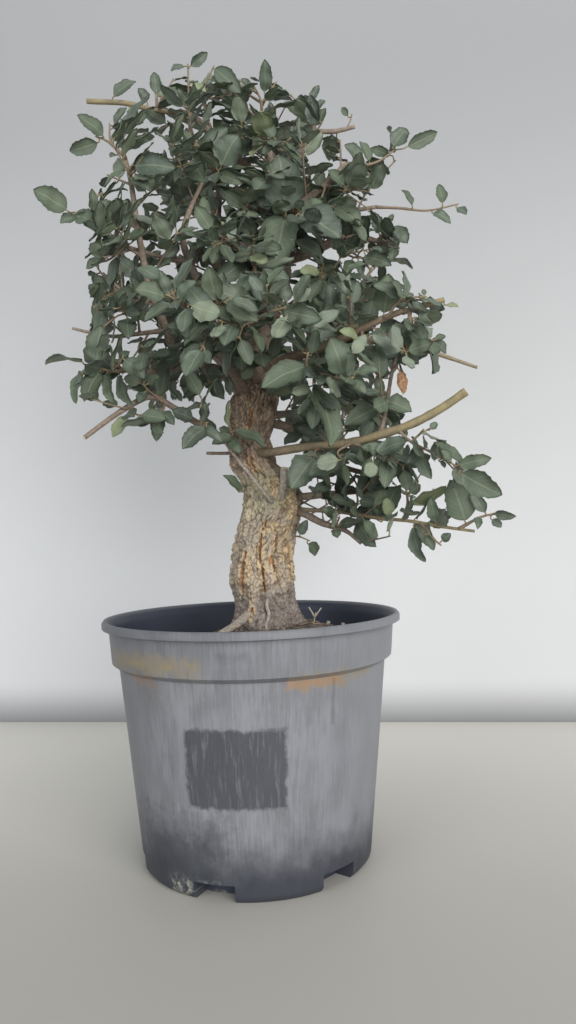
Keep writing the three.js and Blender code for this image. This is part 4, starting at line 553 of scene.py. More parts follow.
def build_trunk(depth_mm):
    level = np.linspace(TRUNK_LOW, TRUNK_SECTIONS[-1][0] + 9, TRUNK_ROWS)
    height, bearing = (grid.ravel() for grid in np.meshgrid(level, ring_angles(TRUNK_COLUMNS), indexing="ij"))
    x, y, radius = trunk_shape(height)
    angle = np.arctan2(np.cos(bearing), -np.sin(bearing))
    place = np.stack([np.cos(bearing) * radius, np.sin(bearing) * radius, height], -1)
    rough = 0.6 * noise(place, 4.5, 3) + 0.4 * noise(place, 2.0, 4)
    bend = noise(place, 11, 5)
    strands = noise(place * (1, 1, 0.3), 3.2, 11)
    edge, own = lump_cracks(angle, height, LUMP_COLUMNS, 13.0, 1.1 * bend + 0.5 * rough, 5)
    fine_edge, fine_own = lump_cracks(angle, height, CRUMB_COLUMNS, 4.6, 1.3 * bend + 0.6 * rough, 6)
    broken = smoothstep(-0.35, 0.35, noise(place, 13, 7))
    crack = (1 - smoothstep(0.02, 0.24, edge + 0.16 * rough)) * (0.2 + 0.8 * broken)
    pit = (1 - smoothstep(0.0, 0.3, fine_edge + 0.16 * rough)) * (1 - 0.5 * broken)
    inside, lips = fissure_masks(angle, height, radius, rough)
    pale = np.zeros(len(height))
    for spot in PALE_PATCHES:
        pale = np.maximum(pale, patch_mask(angle, height, radius, rough, spot))
    knot = patch_mask(angle, height, radius, rough, KNOT)
    relief = np.clip(0.5 * crack + 0.32 * pit + inside, 0, 1) * (1 - knot)
    ridge = np.sin(angle * 7 + height * 0.05) + 0.7 * np.sin(angle * 11 - height * 0.09 + 1.3)
    swell = sum(depth * noise(place, size, seed) for depth, size, seed in TRUNK_SWELLS) + 0.9 * strands
    flare = 3.5 * np.exp(-np.clip(height - 200, 0, None) / 9) * (0.5 + 0.5 * np.sin(angle * 5 + 0.8))
    full = radius * (1 + RIDGE_DEPTH * 0.8 * ridge) + 1.2 + swell + flare + 0.8 * (own - 0.5)
    full = full + LIP_HEIGHT * np.maximum(lips, 0.6 * pale) + 1.6 * knot - depth_mm * relief
    full = full * np.sqrt(np.clip(1 - ((height - CROWN_LEVEL) / CROWN_HEIGHT).clip(0, 1) ** 2, 0.0004, 1))
    points = np.stack([x + full * np.cos(bearing), y + full * np.sin(bearing), height], -1)
    uv = np.stack([bearing / FULL_TURN, height / UV_HEIGHT], -1)
    # Dark where the bark sinks in: partly the cork's own dark cracks, partly painted shade in its cracks,
    # pits and hollows.
    cracks = np.clip(0.75 * crack + 0.8 * pit + 0.7 * smoothstep(0.25, 0.75, -strands), 0, 1)
    cream = np.clip(np.maximum(lips * (0.45 + 0.55 * broken), pale), 0, 1)
    faces, tint = grid_faces(TRUNK_ROWS, TRUNK_COLUMNS), np.stack([cracks, inside, cream], -1)
    trunk = new_piece("cork_trunk", points, faces, [material("fissured_bark")], uv=uv, tint=tint)
    older = smoothstep(322, 345, height + 5 * bend)
    ashen = 1 - smoothstep(208, 246, height + 7 * bend)
    green = patch_mask(angle, height, radius, rough, GREEN_PATCH)
    green = np.maximum(green, 0.55 * smoothstep(282, 300, height) * (1 - older))
    tone_layer = np.stack([np.clip(0.6 * own + 0.4 * fine_own, 0, 1), np.clip(older + knot, 0, 1),
                           0.5 + 0.5 * np.where(green > ashen, green, -ashen)], -1)
    tint_layer(trunk.data, "ages", tone_layer)
    return trunk


# Colours of the bare wood: how pale grey, how reddish and how olive it is, at its start and at its end
WOOD_TONES = {
    "cut_branch": ((0.15, 0.5, 0.3), (0.1, 0.0, 1.0)),
    "right_bare": ((0.3, 0.2, 0.4), (0.3, 0.0, 0.8)), "dead_twig": ((0.95, 0.15, 0.0), (0.8, 0.3, 0.0)),
    "cut_stub": ((0.9, 0.1, 0.05), (0.95, 0.0, 0.2)), "left_bare": ((0.4, 0.5, 0.0), (0.15, 0.3, 0.0)),
    "right_front": ((0.3, 0.5, 0.1), (0.2, 0.6, 0.5)),
    "side_stub": ((0.2, 0.2, 0.0), (0.3, 0.2, 0.0)),
}
LIMB_TONE = ((0.25, 0.35, 0.05), (0.35, 0.4, 0.15))
ROOT_TONE = ((0.85, 0.1, 0.1), (1.0, 0.05, 0.1))
# The sawn face of a limb: how far each ring stands out in mm and how wide it is, then its two middle points
SAWN_RINGS = ((-0.5, 0.7), (0.25, 0.96), (0.3, 0.85))
SAWN_MIDDLES = (-0.5, 0.2)
SAWN_LIMBS = ("cut_branch", "right_bare", "cut_stub", "left_bare", "top_stub")


def build_limbs():
    heap = Heap()
    for seed, (name, (start, end, path)) in enumerate(LIMBS.items()):
        sides = 14 if start > 4.5 else 9
        first, last = WOOD_TONES.get(name, LIMB_TONE)
        curve = add_tube(heap, path, start, end, sides, 2.5, 0, first, 0.1, seed, last)
        if name in SAWN_LIMBS:
            add_sawn_end(heap, curve, end, sides)
    for seed, (start, end, path) in enumerate(ROOTS.values()):
        add_tube(heap, path, start, end, 10, 2.0, 0, ROOT_TONE[0], 0.2, 60 + seed, ROOT_TONE[1])
    return heap.piece("limbs", [material("twig_bark"), material("sawn_wood")])


def add_sawn_end(heap, curve, radius, sides):
    """The pale flat face of a branch that was cut off."""
    along = unit(curve[-1] - curve[-2])
    across = unit(np.cross(along, UP + 0.01))
    other = np.cross(along, across)
    turn = ring_angles(sides)
    ring = np.cos(turn)[:, None] * across + np.sin(turn)[:, None] * other
    rings = [curve[-1] + along * push + ring * radius * width for push, width in SAWN_RINGS]
    points = np.vstack(rings + [curve[-1:] + along * push for push in SAWN_MIDDLES])
    heap.add(points, tube_faces(len(SAWN_RINGS), sides), 1)


ROOTS = {
    "left_root": (4.6, 1.2, [
        (4, -14, 214), (-12, -30, 203), (-27, -47, 196), (-41, -62, 188), (-54, -73, 180)]),
    "front_root": (1.7, 1.1, [
        (15, -24, 226), (13, -28, 217), (14.5, -30, 209), (12, -32.5, 200), (13, -39, 190)]),
}


# Floor, wall, lights and camera
CAMERA_PLACE = (0.0, -679.05, 278.27)
CAMERA_LENS = 26.72
CAMERA_PITCH = -0.0278
CAMERA_YAW = 0.0513
CAMERA_ROLL = -0.0298
SENSOR_WIDTH = 36
VIEW_SIZE = (576, 1024)
FOCAL_POINTS = CAMERA_LENS / SENSOR_WIDTH * VIEW_SIZE[1]
FLOOR_EDGE_ROW = 722
WALL_GAP = 6.0
WALL_FOOT = 40.0
BACKDROP_REACH = 2600.0
FLOOR_LENGTH = 1.6
# Each light's place, target, width, power as a share of the main light's, and colour
LIGHTS = {
    "Key": ((0.8, -2.1, 0.95), (0, 0, 0.33), 2.0, 1, (1.0, 0.99, 0.97)),
    "Fill": ((-1.5, -1.5, 0.8), (0, 0, 0.3), 1.6, 0.25, (0.93, 0.97, 1.0)),
    "Top": ((0.2, 0.1, 2.0), (0, 0, 0.3), 1.2, 0.08, (1.0, 1.0, 1.0)),
}
SKY_COLOR = (0.93, 0.96, 1.0, 1.0)


def camera_axes():
    """The camera's right, up and viewing directions."""
    run = math.cos(CAMERA_PITCH)
    ahead = Vector((math.sin(CAMERA_YAW) * run, math.cos(CAMERA_YAW) * run, -math.sin(CAMERA_PITCH)))
    level = ahead.cross(Vector((0, 0, 1))).normalized()
    upright = level.cross(ahead)
    right = math.cos(CAMERA_ROLL) * level + math.sin(CAMERA_ROLL) * upright
    up = -math.sin(CAMERA_ROLL) * level + math.cos(CAMERA_ROLL) * upright
    return right, up, ahead


def add_camera():
    right, up, ahead = camera_axes()
    turn = Matrix((right, up, -ahead)).transposed().to_4x4()
    data = bpy.data.cameras.new("Camera")
    data.lens = CAMERA_LENS
    data.sensor_width = SENSOR_WIDTH
    data.clip_start = 0.02
    data.dof.use_dof = False
    camera = bpy.data.objects.new("Camera", data)
    camera.matrix_world = Matrix.Translation(Vector(CAMERA_PLACE) * MM) @ turn
    bpy.context.scene.collection.objects.link(camera)
    bpy.context.scene.camera = camera


def add_area_light(name, place, target, size, power, color):
    data = bpy.data.lights.new(name, "AREA")
    data.shape = "DISK"
    data.size = size
    data.energy = power
    data.color = color
    light = bpy.data.objects.new(name, data)
    light.location = place
    light.rotation_euler = (Vector(place) - Vector(target)).to_track_quat("Z", "Y").to_euler()
    bpy.context.scene.collection.objects.link(light)


def floor_point(across, down):
    """The point of the floor, in millimetres, that the front view shows at one of its 576 x 1024 points."""
    right, up, ahead = camera_axes()
    ray = ahead + right * ((across - VIEW_SIZE[0] / 2) / FOCAL_POINTS)
    ray += up * ((VIEW_SIZE[1] / 2 - down) / FOCAL_POINTS)
    return Vector(CAMERA_PLACE) - ray * (CAMERA_PLACE[2] / ray.z)


def clear_from_behind(painted):
    """The material shown on its front side alone, so that the wall hides nothing from a viewer behind it."""
    tree = painted.node_tree
    shader = Shader(tree)
    paint = Value(shader, tree.nodes["Principled BSDF"].outputs[0])
    nothing = shader.node("ShaderNodeBsdfTransparent")[0]
    back = shader.outlet("ShaderNodeNewGeometry", "Backfacing")
    shown = shader.node("ShaderNodeMixShader", {0: back, 1: paint, 2: nothing})[0]
    shader.fill(tree.nodes["Material Output"], {"Surface": shown})
    return painted


def add_backdrop():
    """A floor whose far edge lies level in the front view, the wall behind it and more floor beyond."""
    left, right = floor_point(0, FLOOR_EDGE_ROW), floor_point(VIEW_SIZE[0], FLOOR_EDGE_ROW)
    run = (right - left).normalized() * BACKDROP_REACH
    middle = (left + right) / 2
    back = Vector((-run.y, run.x, 0)).normalized() * WALL_GAP
    ahead = Vector((run.y, -run.x, 0)).normalized() * BACKDROP_REACH * FLOOR_LENGTH
    faces = [(0, 1, 2, 3)]
    for name, start in (("floor", middle + ahead), ("floor_beyond", middle + back)):
        new_piece(name, [start - run, start + run, start + run - ahead, start - run - ahead], faces,
                           [material("floor_paint")], smooth=False)
    rise, drop = Vector((0, 0, BACKDROP_REACH)), Vector((0, 0, WALL_FOOT))
    foot = middle + back - drop
    wall = new_piece("wall", [foot - run, foot + run, foot + run + rise, foot - run + rise], faces,
                     [clear_from_behind(material("wall_paint"))], smooth=False)


def build_stage():
    settings = looks()
    add_camera()
    add_backdrop()
    for name, (place, target, size, share, color) in LIGHTS.items():
        add_area_light(name, place, target, size, settings.key_power * share, color)
    world = bpy.context.scene.world or bpy.data.worlds.new("World")
    bpy.context.scene.world = world
    world.use_nodes = True
    background = world.node_tree.nodes["Background"]
    background.inputs["Color"].default_value = SKY_COLOR
    background.inputs["Strength"].default_value = settings.sky_strength
    bpy.context.scene.view_settings.view_transform = "Standard"


# Leafy sprays
DEPTH_SHIFTS = [0, -5, 5, -10, 10, -16, 16]
SHIFT_GAIN = 0.05
GOLDEN_ANGLE = 2.39996
BLADE_THICKNESS = 0.6
THICKNESS_SLACK = 0.012
SAME_FACE = 0.995
WORST_FIT = 0.35
# How far along a blade the rows of its rim stand, by the number of rim points
RIM_ROWS = {5: (0.28, 0.7), 7: (0, 0.3, 0.7), 9: (0, 0.2, 0.5, 0.8)}
SHOOT_SPACING = 2.0
SIDE_SLACK = 2.5
# Blades near the rim that the front view shows flat: spray and number, length and width kept, and move in mm
SHOWN_FLAT = {("left_arm", 0): (0.64, 0.85, (2, 0, -8)), ("right_crown", 5): (0.62, 0.5, (-2, 0, 1)),
              ("cut_branch_shoot", 5): (0.74, 0.78, (-6, 0, -1))}
FINE_ROWS = 19
EXTRA_ROWS = 12
LEAF_COLUMNS = 5
# Half width of a leaf along its length, as a share of its half width at the widest
BLADE_FORM = np.array([
    (0, 0.08), (0.05, 0.4), (0.13, 0.74), (0.24, 0.95), (0.37, 1.02), (0.5, 1.0), (0.64, 0.91), (0.77, 0.74),
    (0.88, 0.5), (0.95, 0.28), (1, 0.03),
])
LAST_TOOTH = 0.93
TOOTH_WIDTHS = (1.06, 0.985)
TOOTH_REACH = 0.012
EDGE_WAVE = 0.026
WIDTH_WAVE = 0.05
TIP_CURL = 0.1
BLADE_CUP = 0.09
SKIN_THICKNESS = 0.34
STALK_RADIUS = 0.55
STALK_TONE = (0.1, 0.3, 0.8)


def scaled_edge(edge, reach_factor, lift_factor):
    return [(along, reach * reach_factor, lift * lift_factor) for along, reach, lift in edge]


def show_flat(blade, keep_length, keep_width, move):
    """The blade turned most of the way towards the front view, and trimmed from its stalk's end."""
    axis = unit(blade["tip"] - blade["base"])
    to_view = unit(np.array(CAMERA_PLACE) - blade["base"])
    flat = unit(to_view - axis * (to_view @ axis))
    blade["tip"] = blade["tip"] + move
    blade["base"] = blade["tip"] - (blade["tip"] - blade["base"] - move) * keep_length
    blade["width"] = blade["width"] * keep_width
    blade["face"] = unit(0.8 * flat + 0.4 * blade["face"] * np.sign(blade["face"] @ flat + 0.001))
    for edge in ("left", "right"):
        blade[edge] = scaled_edge(blade[edge], 1, 0.4)


def turned_up(blade, is_back):
    """The same blade with its upper face towards the light."""
    outward = unit(blade["base"] - TREE_AXIS) if is_back else FRONT
    if blade["face"] @ (outward + 0.6 * UP) < 0:
        blade["face"] = -blade["face"]
        blade["left"], blade["right"] = (scaled_edge(blade[edge], -1, -1) for edge in ("right", "left"))
    return blade


def shown_blades(name):
    """The blades of a spray's solid, turned to the light and, for a few, towards the front view."""
    blades = [turned_up(blade, name.startswith("back")) for blade in find_blades("spray_" + name)]
    for (spray, number), change in SHOWN_FLAT.items():
        if spray == name:
            show_flat(blades[number], *change)
    return blades


def solid_points(node):
    """The corners of a solid in millimetres, each once, with the edges between them."""
    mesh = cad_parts[node].data
    points = vertex_points(mesh)
    _, first, same = np.unique(np.round(points, 2), axis=0, return_index=True, return_inverse=True)
    edges = np.zeros(len(mesh.edges) * 2, np.int32)
    mesh.edges.foreach_get("vertices", edges)
    edges = np.unique(np.sort(same.ravel()[edges.reshape(-1, 2)], axis=1), axis=0)
    return points[first].astype(float), edges[edges[:, 0] != edges[:, 1]]


def find_blades(node):
    """Every blade of a solid, found by its rim of corner pairs one thickness apart."""
    points, edges = solid_points(node)
    length = np.linalg.norm(points[edges[:, 1]] - points[edges[:, 0]], axis=1)
    pairs = edges[np.abs(length - BLADE_THICKNESS) < THICKNESS_SLACK]
    middles = points[pairs].mean(axis=1)
    faces = unit(points[pairs[:, 1]] - points[pairs[:, 0]])
    pairs_at = {}
    for number, corners in enumerate(pairs):
        for corner in corners:
            pairs_at.setdefault(corner, []).append(number)
    group = np.arange(len(pairs))
    for one, other in edges:
        for a in pairs_at.get(one, []):
            for b in pairs_at.get(other, []):
                if a != b and abs(faces[a] @ faces[b]) > SAME_FACE:
                    group[group == group[b]] = group[a]
    groups = {}
    for number, label in enumerate(group):
        groups.setdefault(label, []).append(number)
    blades = [blade_frame(middles[members], faces[members[0]]) for members in groups.values()
              if len(members) in RIM_ROWS]
    return [blade for blade in blades if blade is not None]


def blade_fit(flat, tip):
    """How badly a rim fits a blade with that tip, and the tip, rows of rim points, direction and length."""
    fractions = RIM_ROWS[len(flat)]
    gap = np.linalg.norm(flat - flat[tip], axis=1)
    order = sorted((k for k in range(len(flat)) if k != tip), key=lambda k: -gap[k])
    rows = [order[k:k + 2] for k in range(0, len(order), 2)]
    run = flat[tip] - flat[rows[0]].mean(axis=0)
    axis, length = unit(run), np.linalg.norm(run) / (1 - fractions[0])
    base = flat[tip] - axis * length
    errors = (abs((flat[k] - base) @ axis / length - share)
              for row, share in zip(rows, fractions) for k in row)
    return sum(errors), tip, rows, axis, length


def blade_frame(rim, face):
    """Base, tip, edges and width of a blade from the points of its rim, or None where they don't fit one."""
    flat = rim - np.outer(rim @ face, face)
    fits = (blade_fit(flat, tip) for tip in range(len(rim)))
    error, tip, rows, axis, length = min(fits, key=lambda fit: fit[0])
    if error > WORST_FIT:
        return None
    side = np.cross(face, axis)
    base = rim[tip] - axis * length
    left, right = [(0.0, 0.0, 0.0)], [(0.0, 0.0, 0.0)]
    for row, fraction in zip(rows, RIM_ROWS[len(rim)]):
        for away in (rim[k] - base for k in row):
            if fraction > 0:
                (left if away @ side > 0 else right).append((fraction, away @ side, away @ face))
    width = max(entry[1] for entry in left) - min(entry[1] for entry in right)
    left.append((1.0, 0.0, 0.0))
    right.append((1.0, 0.0, 0.0))
    return {"base": base, "tip": rim[tip], "face": face, "width": width, "left": left, "right": right}


def edge_lift(edge, along):
    """How far an edge of the solid's blade stands off its middle plane, softened."""
    edge = np.array(edge)
    raised = np.interp(along, edge[:, 0], edge[:, 2])
    return np.convolve(np.pad(raised, 1, "edge"), (0.25, 0.5, 0.25), "valid")


def blade_grid(blade, rows, seed):
    """Points of a blade, row by row from stalk to tip, with toothed and waved edges."""
    base, face = blade["base"], blade["face"]
    axis = blade["tip"] - base
    length = np.linalg.norm(axis)
    axis = axis / length
    along, place = np.linspace(0, 1, rows), np.linspace(-1, 1, LEAF_COLUMNS)
    is_tooth = (np.arange(rows) % 3 == 2) & (along < LAST_TOOTH)
    is_edge = np.abs(place) == 1
    phase = draw(seed, 3) * 6.28
    left = edge_lift(blade["left"], along) + EDGE_WAVE * length * np.sin(along * 13 + phase)
    right = edge_lift(blade["right"], along) + EDGE_WAVE * length * np.sin(along * 11 + phase * 2)
    half = np.interp(along, BLADE_FORM[:, 0], BLADE_FORM[:, 1]) * blade["width"] / 2
    half = half * (1 + WIDTH_WAVE * np.sin(along * 14 + phase * 3))
    fold = 0.35 * (left + right)
    curl = -TIP_CURL * length * along ** 3 * (0.4 + draw(seed, 5))
    bow = np.abs(place) ** 1.5
    reach = half[:, None] * place * np.where(is_edge[None], np.where(is_tooth, *TOOTH_WIDTHS)[:, None], 1)
    edge = np.where(place[None] > 0, left[:, None], right[:, None])
    raised = fold[:, None] + (edge - fold[:, None]) * bow + BLADE_CUP * blade["width"] * bow + curl[:, None]
    forward = length * along[:, None] + TOOTH_REACH * length * (is_tooth[:, None] & is_edge[None])
    side = np.cross(face, axis)
    points = base + forward[..., None] * axis + reach[..., None] * side + raised[..., None] * face
    return points.reshape(-1, 3)


def add_leaf(heap, blade, rows, seed, age, thickness=SKIN_THICKNESS):
    """One leaf: upper skin, under skin and the rim between them, with painted shade darker towards the top
    and the left and painted light towards the bottom and the right.
    """
    points, columns = blade_grid(blade, rows, seed), LEAF_COLUMNS
    half = blade["face"] * thickness / 2
    top = grid_faces(rows, columns, wrap=False)
    edge = np.concatenate([
        np.arange(rows) * columns, (rows - 1) * columns + np.arange(1, columns),
        (np.arange(rows - 1)[::-1] + 1) * columns - 1, np.arange(1, columns - 1)[::-1]])
    after = np.roll(edge, -1)
    rim = np.stack([edge, after, after + len(points), edge + len(points)], -1)
    faces = np.vstack([top[:, ::-1], top + len(points), rim])
    slots = np.repeat((0, 1, 0), (len(top), len(top), len(rim)))
    uv = np.stack(np.meshgrid(np.linspace(0, 1, columns), np.linspace(0, 1, rows)), -1).reshape(-1, 2)
    x, _, z = blade["base"]
    # Painted shade and light: leaves darker towards the top and the left, lighter low down and to the right,
    # on top of their own random tone.
    painted_shade_lean = 0.35 * min(max((z - 430) / 160, -1), 0.7) - 0.25 * min(max(x / 120, 0), 1)
    tint = (min(max(draw(seed, 11) + painted_shade_lean, 0), 1), age, draw(seed, 12))
    heap.add(np.vstack([points + half, points - half]), faces, slots, np.tile(uv, (2, 1)), tint)


def add_stalk(heap, foot, blade):
    """The stalk from the shoot to the blade, running on a little as the midrib."""
    axis = unit(blade["tip"] - blade["base"])
    bend = blade["base"] - axis * np.linalg.norm(blade["base"] - foot) * 0.4
    path = [foot, bend, blade["base"] + axis * 0.6]
    add_tube(heap, path, STALK_RADIUS * 1.2, STALK_RADIUS, 5, 1.6, 2, STALK_TONE, 0.05)


def nearest_on(curves, point):
    """The nearest point of some curves, and the number of its curve."""
    gaps = [np.linalg.norm(curve - point, axis=1) for curve in curves]
    number = min(range(len(curves)), key=lambda k: gaps[k].min())
    return curves[number][gaps[number].argmin()], number


def kept_shift(path, corners):
    """How well a path fits the solid, and the path with its far end moved in depth as the rule kept it."""
    path = np.asarray(path, float)
    best = None
    for shift in DEPTH_SHIFTS:
        moved = path.copy()
        moved[:, 1] += shift * np.arange(len(path)) / (len(path) - 1)
        gap = np.linalg.norm(corners - moved[-1], axis=1).min()
        if best is None or gap < best[0] - SHIFT_GAIN:
            best = (gap, moved)
    return best


def outward_at(point, rise):
    away = np.asarray(point, float) - TREE_AXIS
    away[2] *= rise
    return unit(away)


def rule_side_shoot(main, fraction, key, attempt):
    """A side shoot of a far spray, as the solids' rule sets it."""
    steps = np.linalg.norm(np.diff(main, axis=0), axis=1)
    distance = fraction * steps.sum()
    step = 0 if distance <= steps[0] or len(steps) == 1 else 1
    share = min((distance - steps[:step].sum()) / steps[step], 1)
    run = main[step + 1] - main[step]
    point = main[step] + run * share
    angle = key * GOLDEN_ANGLE + attempt * 0.9
    sway = np.array([math.cos(angle), 0.5 * math.sin(angle), math.sin(angle + 1)])
    heading = unit(unit(run) * 0.5 + outward_at(point, 0.4) * 0.7 + sway)
    length = 34 + 18 * draw(key, 3)
    return [point, point + heading * length * 0.5 + (0, 0, 2), point + heading * length + (0, 0, 5)]


def spray_shoots():
    """Each spray's name, radii and shoots as smooth curves, the main shoot first."""
    sprays = []
    for index, (name, (start, end, *shape)) in enumerate({**SHOOTS, **BACK_SHOOTS}.items()):
        corners, _ = solid_points("spray_" + name)
        if name in SHOOTS:
            main, *sides = (kept_shift(path, corners) for path in shape[0])
        else:
            count, path = shape
            main, sides = kept_shift(path, corners), []
            for side in range(count):
                key, fraction = (index + 1) * 100 + 60 + side, 0.4 + 0.5 * side / (count - 1)
                tries = [rule_side_shoot(main[1], fraction, key, attempt) for attempt in range(4)]
                sides.append(min((kept_shift(path, corners) for path in tries), key=lambda entry: entry[0]))
        curves = [smooth_path(main[1], SHOOT_SPACING)]
        for gap, side in sides:
            if name in SHOOTS:
                side[0], _ = nearest_on(curves[:1], side[0])
            if gap < SIDE_SLACK:
                curves.append(smooth_path(side, SHOOT_SPACING))
        sprays.append((name, start, end, curves))
    return sprays


# The outline of the foliage as the front view shows it, corner by corner in that view's 576 x 1024 points
CANOPY_OUTLINE = [
    (112, 130), (118, 118), (135, 105), (142, 90), (150, 78), (165, 85), (180, 78), (190, 70), (215, 70),
    (240, 82), (255, 76), (272, 74), (285, 88), (300, 92), (322, 97), (326, 110), (328, 130), (340, 140),
    (358, 148), (370, 160), (385, 158), (392, 168), (384, 182), (376, 195), (380, 215), (392, 218),
    (405, 235), (402, 250), (390, 262), (388, 275), (400, 280), (410, 292), (432, 298), (452, 303),
    (440, 318), (434, 330), (446, 345), (440, 358), (425, 362), (428, 378), (415, 372), (410, 395),
    (412, 410), (402, 425), (420, 425), (430, 432), (445, 440), (462, 438), (480, 452), (496, 490),
    (485, 500), (505, 512), (498, 522), (470, 522), (455, 530), (440, 525), (440, 545), (422, 545),
    (405, 535), (395, 530), (372, 545), (360, 530), (345, 528), (330, 530), (315, 520), (300, 515),
    (298, 500), (297, 470), (283, 455), (281, 425), (276, 395), (240, 395), (236, 430), (232, 455),
    (215, 440), (205, 445), (190, 445), (176, 430), (165, 440), (152, 440), (145, 425), (125, 430),
    (108, 432), (108, 415), (95, 400), (75, 400), (75, 370), (82, 355), (85, 330), (95, 315), (88, 300),
    (86, 285), (90, 270), (85, 250), (88, 240), (90, 225), (70, 222), (62, 215), (75, 205), (90, 190),
    (105, 180), (105, 165), (118, 150),
]
# Gaps of the foliage in that view, where the wall shows through: across, down and radius
CANOPY_GAPS = [
    (161, 146, 4), (129, 159, 5), (182, 221, 3), (194, 222, 4), (222, 213, 3), (134, 246, 3), (130, 261, 5),
    (159, 254, 4), (171, 272, 5), (183, 250, 3), (197, 267, 4), (237, 284, 5), (110, 264, 5), (88, 203, 6),
    (349, 431, 6), (375, 383, 5), (396, 384, 6), (398, 398, 5), (413, 378, 5), (341, 416, 4), (325, 392, 4),
    (436, 470, 8), (428, 485, 5), (402, 502, 3), (387, 481, 4), (375, 520, 4), (418, 507, 3), (335, 481, 4),
    (318, 505, 5), (316, 479, 4), (356, 468, 4), (470, 505, 8), (470, 485, 4), (347, 517, 5), (384, 537, 7),
    (403, 527, 6), (352, 495, 4), (284, 455, 7), (363, 251, 5), (352, 262, 4), (376, 238, 6), (309, 264, 5),
    (329, 252, 5), (281, 114, 5), (255, 98, 6), (317, 154, 5), (122, 319, 6), (131, 351, 6), (136, 329, 4),
    (129, 401, 7), (218, 361, 5), (180, 381, 3), (203, 391, 3), (152, 327, 5), (216, 414, 5), (165, 398, 4),
    (175, 425, 5), (112, 418, 6), (100, 386, 5), (142, 404, 6), (286, 407, 6), (371, 270, 6), (365, 208, 5),
    (444, 500, 5), (412, 470, 5), (306, 493, 4), (372, 345, 4), (362, 366, 4), (330, 430, 4), (311, 383, 4),
    (407, 350, 4), (392, 366, 5),
]
# How close to a gap of the foliage, and to a limb that shows uncovered, a leaf may come in the view's points
GAP_MARGIN = 1.5
CLEAR_REACH = 5.0
CLEAR_LIMBS = ("cut_branch", "left_bare", "right_front")
BOX_MARGIN = 4.0
# Places on a blade that stand for it: share of its length, and side as a share of 0.4 of its width
BLADE_SAMPLES = ((0.12, 0), (0.4, -1), (0.4, 0), (0.4, 1), (0.72, -0.8), (0.72, 0.8), (1.0, 0))
LEAF_WINDOW, WOOD_WINDOW = 40, 60
# How far a new leaf keeps from other leaves and from wood, in mm
LEAF_ROOM, LEAF_OFF_WOOD = 3.4, 1.6
TIP_ROOM, TIP_OFF_WOOD = 2.0, 1.0
TIP_REACH = 5
# How many of the finer leaves show their paler underside, and which are young
UPTURNED_SHARE = 0.2
YOUNG_SHARE, YOUNG_SHARE_INSIDE = 0.02, 0.05
BARE_ENDED = ("top_left_stick", "lower_right_branch", "right_front_end")
BARE_LIMBS = ("cut_branch", "left_bare", "right_bare", "dead_twig", "cut_stub", "side_stub", "top_stub")
STICK_TONE = ((0.1, 0.5, 0.3), (0.1, 0.0, 0.9))
SIDE_TWIG_TONE = (0.1, 0.5, 0.4)
INNER_TWIG_TONE = (0.3, 0.4, 0.1)
SHOOT_END_TONE = (0.1, 0.5, 0.5)


def in_front_view(points):
    """Where points in millimetres come to lie in the front view."""
    right, up, ahead = (np.array(axis) for axis in camera_axes())
    away = points - np.array(CAMERA_PLACE)
    depth = away @ ahead
    return np.stack([VIEW_SIZE[0] / 2 + FOCAL_POINTS * (away @ right) / depth,
                     VIEW_SIZE[1] / 2 - FOCAL_POINTS * (away @ up) / depth], -1)


def inside_outline(places):
    """Whether each place of the front view lies inside the foliage's outline."""
    corners = np.array(CANOPY_OUTLINE, float)
    after = np.roll(corners, -1, axis=0)
    x, y = places[:, :1], places[:, 1:]
    spans = (corners[:, 1] > y) != (after[:, 1] > y)
    rise = np.where(after[:, 1] == corners[:, 1], 1e-9, after[:, 1] - corners[:, 1])
    slope = (after[:, 0] - corners[:, 0]) / rise
    return ((spans & (x < corners[:, 0] + slope * (y - corners[:, 1]))).sum(axis=1) % 2) == 1


def distances(points, others):
    return np.linalg.norm(points[:, None] - others[None], axis=-1)


def direction_at(curve, place):
    return unit(curve[min(place + 1, len(curve) - 1)] - curve[max(place - 1, 0)])


def turned_aside(heading, along, angle, squash=1.0):
    """A heading with a unit step added to it across a shoot, at an angle round the shoot."""
    across = unit(np.cross(along, UP + 0.01))
    return heading + math.cos(angle) * across + math.sin(angle) * np.cross(along, across) * squash


def draw_three(*keys, first=0):
    """Three repeatable numbers from -0.5 to 0.5."""
    return np.array([draw(*keys, first + k) - 0.5 for k in range(3)])


def side_twig(foot, heading, length, sag, rise):
    return smooth_path([foot, foot + heading * length * 0.5 + UP * sag, foot + heading * length + UP * rise],
                       SHOOT_SPACING)


def flat_blade(base, heading, face, length, width):
    """A blade that no solid gives, described as those that are found."""
    face = unit(face - heading * (face @ heading))
    edge = [(0.0, 0.0, 0.0), (0.45, width / 2, 0.05 * length * (0.5 - abs(face[0]))), (1.0, 0.0, 0.0)]
    return {"base": base, "tip": base + heading * length, "face": face, "width": width, "left": edge,
            "right": scaled_edge(edge, -1, -0.6)}


